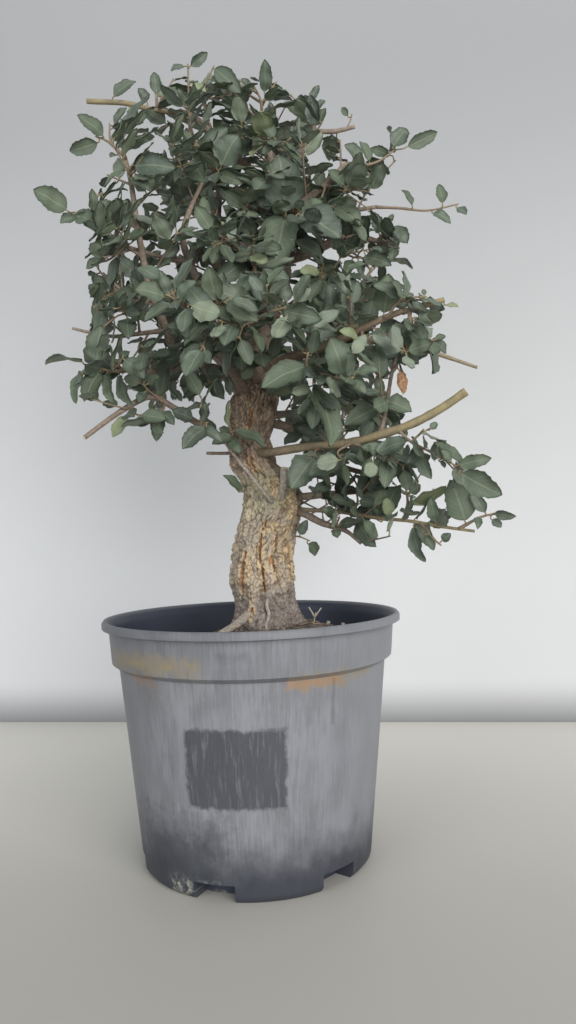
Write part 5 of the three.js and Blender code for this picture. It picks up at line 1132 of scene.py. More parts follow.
class Canopy:
    """The leaves that are already there, so that new ones find free room inside the tree's outline."""

    def __init__(self, share):
        self.share = share
        self.samples = np.zeros((0, 3))
        low, high = (np.array(corner) / MM for corner in CAD_BOX)
        self.low, self.high = low - BOX_MARGIN, high + BOX_MARGIN
        self.gaps = np.array(CANOPY_GAPS, float)
        clear = np.vstack([smooth_path(LIMBS[name][2], 4.0) for name in CLEAR_LIMBS])
        self.clear = np.hstack([in_front_view(clear), clear[:, 1:2]])
        wood = [(smooth_path(path, 3.0), start, end) for start, end, path in LIMBS.values()]
        trunk = [(x, y, height, radius) for height, x, y, radius in TRUNK_SECTIONS]
        self.wood = np.vstack([np.hstack([curve, np.linspace(start, end, len(curve))[:, None]])
                               for curve, start, end in wood] + [trunk])

    def samples_of(self, blade):
        axis = blade["tip"] - blade["base"]
        side = np.cross(blade["face"], unit(axis)) * blade["width"] * 0.4
        return np.array([blade["base"] + axis * share + side * across for share, across in BLADE_SAMPLES])

    def add(self, blade):
        self.samples = np.vstack([self.samples, self.samples_of(blade)])

    def has_room(self, blade, room, off_wood):
        """Whether a blade stays inside box and outline, clear of gaps, bare limbs, leaves and wood."""
        points = self.samples_of(blade)
        if (points < self.low).any() or (points > self.high).any():
            return False
        seen = in_front_view(points)
        if not inside_outline(seen).all():
            return False
        is_hiding = (distances(seen, self.clear[:, :2]) < CLEAR_REACH) & (points[:, 1:2] < self.clear[:, 2])
        if is_hiding.any() or (distances(seen, self.gaps[:, :2]) < self.gaps[:, 2] + GAP_MARGIN).any():
            return False
        leaves = self.samples[(np.abs(self.samples - points[2]) < LEAF_WINDOW).all(axis=1)]
        wood = self.wood[(np.abs(self.wood[:, :3] - points[2]) < WOOD_WINDOW).all(axis=1)]
        touches_wood = (distances(points[1:], wood[:, :3]) - wood[:, 3] < off_wood).any()
        return not touches_wood and not (distances(points, leaves) < room).any()

    def grow_leaves(self, curve, first, key, spacing, size):
        """New leaves along a shoot wherever there is room: blade, foot of the stalk, seed and rows."""
        if not self.share:
            return []
        grown = []
        step = max(int(spacing / self.share / SHOOT_SPACING), 1)
        for number, place in enumerate(range(int(first * (len(curve) - 1)), len(curve), step)):
            is_tip = place + step >= len(curve)
            along, foot = direction_at(curve, place), curve[place]
            for turn in range(3 if is_tip else 2):
                seed = key * 131 + number * 7 + turn
                length = size * (0.62 + 0.62 * draw(seed, 2)) * (0.85 if is_tip else 1)
                face = unit(outward_at(foot, 0.6) * 0.75 + UP * 0.65 + draw_three(seed, first=4) * 0.9)
                if draw(seed, 9) < UPTURNED_SHARE:
                    face = -face
                for attempt in range(3):
                    angle = number * 1.9 + turn * FULL_TURN / 2 + draw(seed, 1) * 1.2 + attempt * 1.25
                    heading = turned_aside(along * (0.9 if is_tip else 0.5), along, angle, 0.8)
                    heading = unit(heading + UP * 0.12)
                    if abs(face @ heading) > 0.9:
                        continue
                    base = foot + heading * (2.5 + 2.5 * draw(seed, 7))
                    blade = flat_blade(base, heading, face, length, length * (0.5 + 0.14 * draw(seed, 8)))
                    if self.has_room(blade, LEAF_ROOM, LEAF_OFF_WOOD):
                        self.add(blade)
                        grown.append((blade, foot, seed, EXTRA_ROWS))
                        break
        return grown

    def tip_leaf(self, curve, leaves, key):
        """A last leaf at the end of a shoot that has none there yet."""
        end = curve[-1]
        if not self.share or any(np.linalg.norm(place - end) < TIP_REACH
                                 for blade, foot, _, _ in leaves for place in (foot, blade["base"])):
            return []
        seed = key * 977 + 5
        along = unit(curve[-1] - curve[-3])
        for attempt in range(4):
            sway = draw_three(seed, attempt)
            heading = unit(along + 0.5 * sway)
            face = unit(outward_at(end, 0.6) * 0.8 + UP * 0.5 + sway * 0.6 + FRONT * 0.3)
            length = 15 + 7 * draw(seed, 2)
            blade = flat_blade(end + heading * 1.5, heading, face, length, length * 0.56)
            if self.has_room(blade, TIP_ROOM, TIP_OFF_WOOD):
                self.add(blade)
                return [(blade, end, seed, EXTRA_ROWS)]
        return []


def grow_twigs(curve, key, count):
    """Short side twigs of a shoot, as smooth curves."""
    twigs = []
    for number in range(count):
        share = 0.3 + 0.6 * (number + draw(key, number, 1)) / count
        place = min(int(share * (len(curve) - 1)), len(curve) - 2)
        along = direction_at(curve, place)
        heading = turned_aside(along * 0.6, along, (key + number) * GOLDEN_ANGLE)
        heading = unit(heading + outward_at(curve[place], 0.5) * 0.45)
        twigs.append(side_twig(curve[place], heading, 16 + 20 * draw(key, number, 2), 1.2, 3))
    return twigs


def up_to_last(curve, starts):
    """The part of a shoot that carries leaves or side shoots, as its twig is drawn."""
    places = [np.linalg.norm(curve - start, axis=1).argmin() for start in starts]
    last = max(places) + 2 if places else int(len(curve) * 0.4)
    shown = curve[:max(last, 4)]
    return np.vstack([shown[:-1:2], shown[-1:]]) if len(shown) > 5 else shown


def add_grown(heap, leaves, has_young=True):
    """Adds leaves with their stalks; a few are young, more of them towards the middle of the tree."""
    for blade, foot, seed, rows in leaves:
        inner = 1 - min(np.linalg.norm((blade["base"] - TREE_AXIS) * (1, 1, 0.6)) / 150, 1)
        is_young = has_young and draw(seed, 21) < YOUNG_SHARE + YOUNG_SHARE_INSIDE * inner
        add_leaf(heap, blade, rows, seed, 1.0 if is_young else 0.3 * draw(seed, 22))
        if np.linalg.norm(blade["base"] - foot) > 0.8:
            add_stalk(heap, foot, blade)


def build_spray(canopy, index, spray, blades):
    """All leaves, stalks and twigs of one spray: the solid's own blades first, then those that find room."""
    name, start, end, curves = spray
    heap, grown, key = Heap(), [], index * 40
    feet = [nearest_on(curves, blade["base"]) for blade in blades]
    for number, curve in enumerate(curves):
        is_main = number == 0
        leaves = [(blade, foot, index * 1000 + k, FINE_ROWS)
                  for k, (blade, (foot, own)) in enumerate(zip(blades, feet)) if own == number]
        leaves += canopy.grow_leaves(curve, 0.35 if is_main else 0.15, key + number, 10, 25)
        leaves += canopy.tip_leaf(curve, leaves, key + number)
        starts = [leaf[1] for leaf in leaves] + ([other[0] for other in curves[1:]] if is_main else [])
        grown += leaves
        for side, twig in enumerate(grow_twigs(curve, index * 17 + number * 5 + 3, 2 if is_main else 1)):
            seed = key + 20 + number * 3 + side
            leaves = canopy.grow_leaves(twig, 0.3, seed, 9, 23)
            if leaves:
                leaves += canopy.tip_leaf(twig, leaves, seed)
                shown = up_to_last(twig, [leaf[1] for leaf in leaves])
                add_tube(heap, shown, 0.8, 0.5, 5, 4.0, 2, SIDE_TWIG_TONE, 0.08, seed)
                starts.append(twig[0])
                grown += leaves
        if name in BARE_ENDED and is_main:
            add_tube(heap, curve[::2], start, end, 9, 3.0, 2, STICK_TONE[0], 0.08, index, STICK_TONE[1])
        else:
            thick = max(start, 0.8) if is_main else max(0.75 * start, 0.9)
            tone = (0.2, 0.3 + 0.5 * draw(index, number, 9), 0.2)
            shown = up_to_last(curve, starts)
            add_tube(heap, shown, thick, max(end * 0.6, 0.55), 6, 4.0, 2, tone, 0.1, index, SHOOT_END_TONE)
    add_grown(heap, grown)
    return heap


def build_foliage(share):
    """One piece of leaves, stalks and shoots for every spray of the solids, and one for each leafy limb."""
    sprays, canopy = spray_shoots(), Canopy(share)
    blades = [shown_blades(spray[0]) for spray in sprays]
    for blade in sum(blades, []):
        canopy.add(blade)
    materials = [material(name) for name in ("leaf_upper", "leaf_under", "twig_bark")]
    for index, spray in enumerate(sprays):
        heap = build_spray(canopy, index, spray, blades[index])
        settle(heap.piece("leaves_" + spray[0], materials), "leaf", "spray_" + spray[0])
    for index, (name, (_, _, path)) in enumerate(LIMBS.items()):
        if share and name not in BARE_LIMBS:
            heap = grow_inner_twigs(canopy, smooth_path(path, SHOOT_SPACING), 5000 + index * 100)
            if heap.count:
                settle(heap.piece("inner_" + name, materials), "leaf")


def grow_inner_twigs(canopy, curve, first_key):
    """Short leafy twigs along a limb, inside the foliage."""
    heap = Heap()
    places = range(len(curve) // 5, len(curve) - 1, max(int(9 / canopy.share), 3))
    for key, place in enumerate(places, first_key):
        along = direction_at(curve, place)
        for attempt in range(3):
            heading = turned_aside(along * 0.5, along, key * GOLDEN_ANGLE + attempt * 1.9)
            heading = unit(heading + outward_at(curve[place], 0.5) * 0.3)
            twig = side_twig(curve[place], heading, 26 + 30 * draw(key, attempt, 2), 1.5, 4)
            grown = canopy.grow_leaves(twig, 0.25, key + attempt * 37, 9, 24)
            if len(grown) > 1:
                shown = up_to_last(twig, [leaf[1] for leaf in grown])
                add_tube(heap, shown, 1.0, 0.55, 5, 4.0, 2, INNER_TWIG_TONE, 0.1, key)
                add_grown(heap, grown, False)
                break
    return heap


# Pot, soil and fallen bits
POT_COLUMNS = 300
NOTCH_WALL = 2.0
CASING_HALF_ANGLE = NOTCH_HALF_ANGLE + 1.3
DRAIN_RADIUS = 4.5
FLOOR_THICKNESS = 2.4
SOIL_RINGS = 60
SOIL_COLUMNS = 200
GRAIN_COUNT = 1500
FIBRE_COUNT = 170
LIP_INNER_LEVEL = 206.5
INNER_WALL = [(r, z) for r, z in POT_INSIDE if r > 0]
OUTER_WALL = [(r, z) for r, z in POT_OUTSIDE if z > 3]
COLUMN_GAP = 0.01
POT_WOBBLES = ((0.35, 60, 31), (0.12, 18, 32))
SHARP_ANGLE = 38
DRAIN_SIDES = 24
DRAIN_REACH = 4
# The soil's hidden part: the level of its underside, and the level where it leaves the pot's casings
SOIL_UNDERSIDE, SOIL_SHOULDER = 2.7, 18
SOIL_ROUGHNESS = ((1.6, 14, 41), (0.9, 5, 42), (0.5, 2.2, 43))
TRUNK_CLEARANCE = 26


def along_profile(corners, count):
    """An even number of points along straight runs, with every corner kept."""
    corners = np.asarray(corners, float)
    lengths = np.linalg.norm(np.diff(corners, axis=0), axis=1)
    shares = np.maximum(np.round(lengths / lengths.sum() * count), 1).astype(int)
    shares[lengths.argmax()] += count - shares.sum()
    points = [start + (end - start) * np.arange(steps)[:, None] / steps
              for start, end, steps in zip(corners, corners[1:], shares)]
    return np.vstack(points + [corners[-1:]])


def wall_radius(profile, height):
    corners = sorted((z, r) for r, z in profile)
    return float(np.interp(height, [z for z, _ in corners], [r for _, r in corners]))


def pot_columns():
    """Angles round the pot; at each edge of a notch there are two columns, one on each side of it."""
    columns = [(angle, angle, angle) for angle in np.arange(POT_COLUMNS) * 360 / POT_COLUMNS + 0.05]
    for middle in notch_angles():
        for sign in (-1, 1):
            for nudge in (-COLUMN_GAP, COLUMN_GAP):
                edge, casing = middle + sign * NOTCH_HALF_ANGLE, middle + sign * CASING_HALF_ANGLE
                columns.append((edge % 360, edge + nudge, edge))
                columns.append((casing % 360, casing, casing + nudge))
    return sorted(columns, key=lambda column: (column[0], column[1] + column[2]))


def notch_angles():
    return [NOTCH_FIRST_ANGLE + notch * 360 / NOTCH_COUNT for notch in range(NOTCH_COUNT)]


def inside_span(angle, half):
    step = 360 / NOTCH_COUNT
    off = (angle - NOTCH_FIRST_ANGLE + step / 2) % step - step / 2
    return abs(off) < half


def build_pot():
    shelf, casing = NOTCH_HEIGHT + NOTCH_WALL, NOTCH_INNER_RADIUS - NOTCH_WALL
    outer_low = (wall_radius(OUTER_WALL, NOTCH_HEIGHT), NOTCH_HEIGHT)
    inner_low = (wall_radius(INNER_WALL, shelf), shelf)
    ring, hub = (NOTCH_INNER_RADIUS, 0), (casing, FLOOR_THICKNESS)
    floor = along_profile([(0.02, 0), ring], 6)
    foot = along_profile([ring, *POT_OUTSIDE[1:3], outer_low], 12)
    opening = along_profile([ring, (NOTCH_INNER_RADIUS, NOTCH_HEIGHT), outer_low], 12)
    above = [corner for corner in POT_OUTSIDE if corner[1] > NOTCH_HEIGHT]
    above += [corner for corner in INNER_WALL if corner[1] > shelf]
    above = along_profile([outer_low, *above, inner_low], 96)
    corner = along_profile([inner_low, POT_INSIDE[-2], hub], 10)
    box = along_profile([inner_low, (casing, shelf), hub], 10)
    inside_floor = along_profile([hub, (0.02, FLOOR_THICKNESS)], 6)
    points, columns = [], pot_columns()
    for angle, outer, inside in columns:
        low = opening if inside_span(outer, NOTCH_HALF_ANGLE) else foot
        high = box if inside_span(inside, CASING_HALF_ANGLE) else corner
        profile = np.vstack([floor, low[1:], above[1:], high[1:], inside_floor[1:]])
        turn = math.radians(angle)
        radius, height = profile.T
        points.append(np.stack([radius * math.sin(turn), -radius * math.cos(turn), height], -1))
    points = np.array(points)
    rows = points.shape[1]
    flat = points.reshape(-1, 3)
    wobble = sum(depth * noise(flat, size, seed) for depth, size, seed in POT_WOBBLES)
    lift = smoothstep(30, 150, flat[:, 2])
    flat = flat + unit(flat * (1, 1, 0)) * (wobble * lift)[:, None]
    _, first, same = np.unique(np.round(flat, 3), axis=0, return_index=True, return_inverse=True)
    same = same.ravel()
    faces = []
    for face in grid_faces(len(columns) + 1, rows, wrap=False):
        corners = [int(same[k % len(flat)]) for k in face]
        corners = [c for n, c in enumerate(corners) if c != corners[n - 1]]
        if len(set(corners)) == len(corners) and len(corners) > 2:
            faces.append(corners)
    pot = new_piece("nursery_pot", flat[first], faces, [material("weathered_plastic")])
    bore_drains(pot)
    shade_inside(pot)
    pot.data.set_sharp_from_angle(angle=math.radians(SHARP_ANGLE))
    settle(pot, "pot_plastic", "pot")


def shade_inside(pot):
    """Marks the faces inside the wall, which the material darkens with painted shade."""
    points = vertex_points(pot.data)
    corners = np.array(sorted((z, r) for r, z in POT_OUTSIDE))
    outer = np.interp(points[:, 2], corners[:, 0], corners[:, 1])
    inside = (points[:, 2] < LIP_INNER_LEVEL) & (points[:, 2] > FLOOR_THICKNESS - 0.1)
    inside &= np.hypot(points[:, 0], points[:, 1]) < outer - 1.3
    tint_layer(pot.data, "tint", np.repeat(inside[:, None].astype(np.float32), 3, axis=1))


def bore_drains(pot):
    """Cuts a drain hole through the roof of each notch."""
    heap = Heap()
    radius, ends = BASE_RADIUS - 10, np.arange(2 * DRAIN_SIDES).reshape(2, -1)
    ring = level_ring(ring_angles(DRAIN_SIDES), DRAIN_RADIUS)
    for angle in map(math.radians, notch_angles()):
        level = NOTCH_HEIGHT + NOTCH_WALL / 2
        middle = np.array([radius * math.sin(angle), -radius * math.cos(angle), level])
        points = np.vstack([middle + ring - UP * DRAIN_REACH, middle + ring + UP * DRAIN_REACH])
        heap.add(points, [*grid_faces(2, DRAIN_SIDES), ends[0][::-1], ends[1]])
    cutter = heap.piece("drain_cutter", [])
    cut = pot.modifiers.new("drains", "BOOLEAN")
    cut.operation = "DIFFERENCE"
    cut.object = cutter
    cut.solver = "EXACT"
    shaped = bpy.data.meshes.new_from_object(pot.evaluated_get(bpy.context.evaluated_depsgraph_get()))
    pot.modifiers.clear()
    pot.data = shaped
    bpy.data.objects.remove(cutter)


def soil_level(x, y):
    distance = np.hypot(x - SOIL_MOUND_CENTRE[0], y - SOIL_MOUND_CENTRE[1])
    mound = np.exp(-((distance / SOIL_MOUND_SPREAD) ** 4))
    inside = np.clip(1 - (np.hypot(x, y) / wall_radius(INNER_WALL, SOIL_EDGE_LEVEL)) ** 6, 0, None)
    return SOIL_EDGE_LEVEL + (SOIL_MOUND_HEIGHT * mound + 0.8 * np.sin(x * 0.21) * np.cos(y * 0.17)) * inside


def rough_soil(x, y):
    place = np.stack([x, y, x * 0], -1)
    return sum((depth * noise(place, size, seed) for depth, size, seed in SOIL_ROUGHNESS), soil_level(x, y))


def add_grain(heap, centre, size, seed, tone):
    """A small lump with flat sides."""
    ring = ring_angles(5)
    upper, lower = level_ring(ring, 0.9, 0.45), level_ring(ring + 0.63, 0.9, -0.45)
    points = np.vstack([[(0, 0, 1)], upper, lower, [(0, 0, -1)]])
    stretch = [0.6 + 0.9 * draw(seed, 1), 0.6 + 0.9 * draw(seed, 2), 0.4 + 0.5 * draw(seed, 3)]
    bumps = np.array([draw_three(seed, k, first=5) for k in range(len(points))])
    turn = Matrix.Rotation(draw(seed, 4) * 6.28, 3, "Z") @ Matrix.Rotation(draw(seed, 8) * 1.2, 3, "X")
    points = (points * stretch + bumps * 0.45) @ np.array(turn).T * size
    faces = []
    for k, after in zip(range(5), (1, 2, 3, 4, 0)):
        faces += [(0, 1 + k, 1 + after), (1 + k, 6 + k, 1 + after), (1 + after, 6 + k, 6 + after),
                  (11, 6 + after, 6 + k)]
    heap.add(points + centre, faces, 0, None, tone)


def on_soil(x, y, lift):
    """A point that stands over the rough soil by lift."""
    return np.array([x, y, float(rough_soil(np.array([x]), np.array([y]))[0]) + lift])


def build_soil():
    edge = wall_radius(INNER_WALL, SOIL_EDGE_LEVEL)
    low_edge = wall_radius(INNER_WALL, SOIL_SHOULDER) - 0.4
    inner = NOTCH_INNER_RADIUS - NOTCH_WALL - 0.5
    turn = ring_angles(SOIL_COLUMNS)
    rings = [level_ring(turn, radius, height) for radius, height in (
        (0.05, SOIL_UNDERSIDE), (inner, SOIL_UNDERSIDE), (inner, SOIL_SHOULDER), (low_edge, SOIL_SHOULDER))]
    for radius in np.linspace(edge - 0.15, 0.05, SOIL_RINGS):
        ring = level_ring(turn, radius)
        rings.append(level_ring(turn, radius, rough_soil(ring[:, 0], ring[:, 1])))
    points = np.vstack(rings)
    place = noise(points, 6, 44)
    tone = np.stack([np.clip(0.5 + 0.5 * place, 0, 1), 0 * place, 0 * place], -1)
    heap = Heap()
    heap.add(points, grid_faces(len(rings), SOIL_COLUMNS), 0, None, tone)
    add_grains(heap, edge)
    add_fibres(heap, edge)
    settle(heap.piece("soil_surface", [material("potting_soil")], smooth=False), "soil", "soil")


def add_grains(heap, edge):
    for seed in range(GRAIN_COUNT):
        radius = (edge - 3) * math.sqrt(draw(seed, 51))
        angle = draw(seed, 52) * FULL_TURN
        x, y = radius * math.cos(angle), radius * math.sin(angle)
        if math.hypot(x - TRUNK_SECTIONS[0][1], y) < TRUNK_CLEARANCE:
            continue
        size = 0.8 + 2.1 * draw(seed, 53) ** 3
        pale = draw(seed, 54)
        kind = (0.85, 0.0, 0.5) if pale > 0.9 else (0.15 + 0.5 * pale, 0.0, 0.0)
        if draw(seed, 55) > 0.86:
            kind = (0.5, 1.0, 0.0)
        add_grain(heap, on_soil(x, y, size * 0.3), size, seed, kind)


def add_fibres(heap, edge):
    for seed in range(FIBRE_COUNT):
        radius = 30 + (edge - 38) * draw(seed, 61)
        angle, heading = draw(seed, 62) * FULL_TURN, draw(seed, 63) * FULL_TURN
        length = 6 + 14 * draw(seed, 64)
        path = []
        for share in (0, 0.5, 1):
            x = radius * math.cos(angle) + math.cos(heading + share * 0.9) * length * share
            y = radius * math.sin(angle) + math.sin(heading + share * 0.9) * length * share
            if math.hypot(x, y) > edge - 3:
                break
            path.append(on_soil(x, y, 0.8) + UP * 1.5 * draw(seed, int(share * 2), 65))
        if len(path) == 3:
            add_tube(heap, path, 0.42, 0.25, 4, 3.0, 0, (0.6, 0.5, 0.9 * draw(seed, 66)), 0, seed)


FALLEN_TWIG = [[(53, -10, 192), (55, -12, 204), (56, -13, 208)], [(55, -12, 204), (61, -12, 212)],
               [(55, -12, 204), (50, -13, 213)]]
STUBS = [[(66, 6, 190), (69, 5, 198)], [(80, 6, 186), (82, 5, 196)]]


def build_litter():
    heap = Heap()
    for path in FALLEN_TWIG:
        add_tube(heap, path, 0.9, 0.55, 6, 3.0, 0, (1.0, 0.0, 0.0))
    for path in STUBS:
        add_tube(heap, path, 1.9, 1.6, 7, 2.0, 0, (0.9, 0.1, 0.1))
    settle(heap.piece("fallen_twigs", [material("twig_bark")]), "cork_bark")


DRY_LEAF_ENDS = np.array([(118, -107, 399), (121, -107, 382)], float)
DRY_LEAF_FACE = np.array([0.35, -0.9, 0.1])
DRY_LEAF_WIDTH = 9.0
DRY_LEAF_THICKNESS = 0.5
DRY_STALK = [(114, -96, 402), (115, -102, 404), (117, -107, 401), (118, -107, 399)]


def build_dry_leaf():
    heap = Heap()
    base, tip = DRY_LEAF_ENDS
    blade = flat_blade(base, unit(tip - base), DRY_LEAF_FACE, np.linalg.norm(tip - base), DRY_LEAF_WIDTH)
    add_leaf(heap, blade, FINE_ROWS, 77, 0.5, DRY_LEAF_THICKNESS)
    add_tube(heap, DRY_STALK, 0.8, 0.6, 6, 2.0)
    settle(heap.piece("dry_leaf_curled", [material("withered_leaf")] * 2), "dry_leaf", "dry_leaf")


# Materials
CORK_TONES = {
    "green": (0.47, 0.45, 0.27), "ashen": (0.2, 0.175, 0.165), "grey": (0.36, 0.335, 0.31),
    "cream": (0.7, 0.52, 0.3), "brown_low": (0.21, 0.155, 0.12), "brown_high": (0.58, 0.425, 0.31),
    "pit": (0.15, 0.11, 0.085), "crack": (0.12, 0.085, 0.065), "fleck": (0.1, 0.07, 0.055),
    "rust": (0.17, 0.08, 0.04),
}
LEAF_WARMTH = (1.05, 1.08, 0.72)
RED_WOOD = (0.3, 0.185, 0.13)
ASHEN_WOOD = ((0.27, 0.235, 0.2), (0.46, 0.41, 0.36))
SAWN_WOOD = ((0.5, 0.4, 0.25), (0.78, 0.68, 0.5))
DRY_LEAF_TONES = ((0.2, 0.1, 0.05), (0.42, 0.25, 0.14))
WARM_GRAIN = (0.24, 0.13, 0.07)
STRAW = (0.46, 0.37, 0.27)
SEAM_SHADE = (0.03, 0.03, 0.035)
FOOT_GRIME = (0.03, 0.034, 0.046)
SMUDGE = (0.032, 0.036, 0.046)
WORN_PATCH = (0.048, 0.051, 0.063)
POT_RUST = (0.33, 0.17, 0.075)
CHALK = (0.4, 0.4, 0.34)
SCRATCH = (0.06, 0.065, 0.085)
DRIP = (0.06, 0.05, 0.045)
# Painted shade of the pot's inside, far darker than its outside
POT_INSIDE_PAINTED_SHADE = ((0.02, 0.024, 0.04), (0.045, 0.052, 0.08))
POT_ARC_RADIUS = 0.115
BLACK = (0, 0, 0)
# Marks on the pot's wall in mm: arc from the front, height, half width, half height, soft edge, raggedness
POT_MARKS = {
    "smudge": (-80, 32, 46, 26, 16, 44), "worn": (-17, 103, 41, 30, 1.6, 9),
    "ochre": (-88, 181, 48, 5, 6, 22), "rust_left": (-98, 168, 14, 3, 3, 14),
    "stain_right": (66, 167, 36, 3.5, 4.5, 22), "rust_right": (48, 166, 22, 2.5, 4, 18),
    "speckles": (-70, 158, 26, 5, 9, 40), "chalk": (-62, 7, 24, 5, 5, 22),
    "scratch": (-14, 189, 11, 2.5, 3, 9), "drip": (64, 149, 0.9, 17, 1.8, 3),
}
MARK_INPUTS = ("Arc", "Height", "Half width", "Half height", "Soft", "Ragged")


class Value:
    """A socket's value, ready for sums and products."""

    def __init__(self, shader, socket):
        self.shader, self.socket = shader, socket

    def math(self, operation, other=0.0, clamp=False):
        values = {0: self, 1: other}
        return self.shader.node("ShaderNodeMath", values, operation=operation, use_clamp=clamp)[0]

    def __add__(self, other):
        return self.math("ADD", other)

    def __sub__(self, other):
        return self.math("SUBTRACT", other)

    def __mul__(self, other):
        return self.math("MULTIPLY", other)

    def size(self):
        return self.math("ABSOLUTE")


class Shader:
    """Short calls that add nodes to the tree of a material or a node group."""

    def __init__(self, tree):
        self.tree = tree

    def fill(self, node, values):
        """Links values to the node's inputs, or sets them there."""
        for key, value in values.items():
            if isinstance(value, Value):
                self.tree.links.new(value.socket, node.inputs[key])
            else:
                node.inputs[key].default_value = value

    def node(self, kind, inputs=(), **settings):
        """Adds a node and returns its outputs."""
        node = self.tree.nodes.new(kind)
        for name, value in settings.items():
            setattr(node, name, value)
        self.fill(node, dict(inputs))
        return [Value(self, socket) for socket in node.outputs]

    def outlet(self, kind, name):
        """The named output of a new node."""
        return Value(self, self.tree.nodes.new(kind).outputs[name])

    def place(self):
        return self.outlet("ShaderNodeTexCoord", "Object")

    def mix(self, share, first, second):
        values = {0: share, 6: first, 7: second}
        for key in (6, 7):
            if not isinstance(values[key], Value):
                values[key] = (*values[key], 1.0)
        return self.node("ShaderNodeMix", values, data_type="RGBA", clamp_factor=True)[2]

    def layers(self, color, *layers):
        """The colour with others over it, each given as its share and its colour."""
        for share, other in layers:
            color = self.mix(share, color, other)
        return color

    def span(self, value, low, high, start=0.0, end=1.0):
        ends = {0: value, 1: low, 2: high, 3: start, 4: end}
        return self.node("ShaderNodeMapRange", ends, interpolation_type="SMOOTHSTEP")[0]

    def noise(self, vector, scale, detail=3.0, roughness=0.55):
        values = {"Vector": vector, "Scale": scale, "Detail": detail, "Roughness": roughness}
        return self.node("ShaderNodeTexNoise", values)[0]

    def split(self, vector):
        return self.node("ShaderNodeSeparateXYZ", {0: vector})

    def join(self, x, y, z):
        return self.node("ShaderNodeCombineXYZ", {0: x, 1: y, 2: z})[0]

    def tint(self, name="tint"):
        layer = self.node("ShaderNodeVertexColor", layer_name=name)[0]
        return self.node("ShaderNodeSeparateColor", {0: layer})

    def group(self, tree, inputs):
        return self.node("ShaderNodeGroup", inputs, node_tree=tree)

    def skin(self, color, roughness, height, strength, distance):
        """The inputs of the Principled node, with a fine relief."""
        values = {"Height": height, "Strength": strength, "Distance": distance}
        return {"Base Color": color, "Roughness": roughness, "Normal": self.node("ShaderNodeBump", values)[0]}


def looks():
    return bpy.context.scene.bonsai_looks


def shaded(color, factor):
    return [channel * factor for channel in color]


def material(name):
    """The material of that name, made once by its function in FINISHES."""
    found = bpy.data.materials.get(name)
    if found is None:
        found = bpy.data.materials.new(name)
        found.use_nodes = True
        shader = Shader(found.node_tree)
        shader.fill(found.node_tree.nodes["Principled BSDF"], FINISHES[name](shader, looks()))
    return found


def new_group(name, vector, values, masks, build):
    """A node group made once: a vector and values go in, and the masks that build wires come out."""
    group = bpy.data.node_groups.get(name)
    if group is None:
        group = bpy.data.node_groups.new(name, "ShaderNodeTree")
        group.interface.new_socket(vector, in_out="INPUT", socket_type="NodeSocketVector")
        for direction, sockets in (("INPUT", values), ("OUTPUT", masks)):
            for socket in sockets:
                group.interface.new_socket(socket, in_out=direction, socket_type="NodeSocketFloat")
        shader = Shader(group)
        results = build(shader, *shader.node("NodeGroupInput")[:-1])
        shader.fill(group.nodes.new("NodeGroupOutput"), dict(zip(masks, results)))
    return group


def leaf_veins(shader, uv):
    """Masks of a leaf's midrib and side veins from its UV map."""
    x, y, _ = shader.split(uv)
    off = (x - 0.5).size()
    wave = ((y - off * 0.75) * 7.0).math("FRACT")
    return shader.span(off, 0.012, 0.055, 1.0, 0.0), shader.span((wave - 0.5).size(), 0.02, 0.12, 1.0, 0.0)


def streaks(shader, place):
    """Uneven upright streaks on a wall, from its arc and height in metres."""
    x, y, _ = shader.split(place)
    fine = shader.noise(shader.join(x * 520.0, y * 34.0, 0.0), 1.0, 4.0, 0.6)
    broad = shader.noise(shader.join(x * 60.0, y * 22.0, 3.0), 1.0)
    return [fine * 0.5 + broad * 0.5]


def mark(shader, place, arc, height, half_width, half_height, soft, ragged):
    """A soft-edged rectangle on a wall, with its edges broken up by noise."""
    x, y, _ = shader.split(place)
    over = ((x - arc).size() - half_width).math("MAXIMUM", (y - height).size() - half_height)
    edge = over + (shader.noise(place, 140.0) - 0.5) * ragged
    return [(soft - edge).math("DIVIDE", soft * 2.0, True)]


def leaf_skin(shader, base, young, vein, vein_share):
    own, age, tone = shader.tint()
    midrib, side = shader.group(new_group("Leaf veins", "UV", (), ("Midrib", "Side"), leaf_veins),
                                {"UV": shader.outlet("ShaderNodeTexCoord", "UV")})
    mottle = shader.noise(shader.place(), 240.0, 2.0)
    warmer = [channel * factor for channel, factor in zip(base, LEAF_WARMTH)]
    color = shader.layers(
        # The first tint darkens each leaf: its own random tone, plus painted shade towards the top and the
        # left.
        base, (own * 0.75, shaded(base, 0.62)),
        (shader.span(mottle, 0.35, 0.75, 0.0, 0.3), shaded(base, 1.35)),
        (tone * 0.45, warmer), (shader.span(age, 0.3, 1.0, 0.0, 0.8), young),
        (side * 0.13, vein), (midrib * vein_share, vein))
    height = mottle * 0.5 - (midrib + side * 0.5)
    return shader.skin(color, shader.span(tone, 0, 1, 0.5, 0.68), height, 0.35, 0.0004)


def leaf_upper(shader, settings):
    return leaf_skin(shader, settings.upper_color, settings.young_color, settings.vein_color, 0.32)


def leaf_under(shader, settings):
    return leaf_skin(shader, settings.under_color, settings.young_color, settings.vein_color, 0.5)


def twig_bark(shader, settings):
    """Bare wood; the tint says how pale grey, how reddish and how olive it is."""
    grey, red, olive = shader.tint()
    place = shader.place()
    grain = shader.noise(place, 420.0, 4.0)
    broad = shader.span(shader.noise(place, 90.0, 2.0), 0.35, 0.65)
    shoot = shader.mix(broad, shaded(settings.shoot_color, 0.75), shaded(settings.shoot_color, 1.15))
    ashen = shader.mix(shader.span(grain, 0.35, 0.65), *ASHEN_WOOD)
    color = shader.layers(
        shaded(settings.twig_color, 0.55), (shader.span(grain, 0.3, 0.7), settings.twig_color),
        (red * 0.75, RED_WOOD), (olive * 0.85, shoot), (grey * 0.85, ashen))
    return shader.skin(color, 0.78, grain, 0.6, 0.0006)


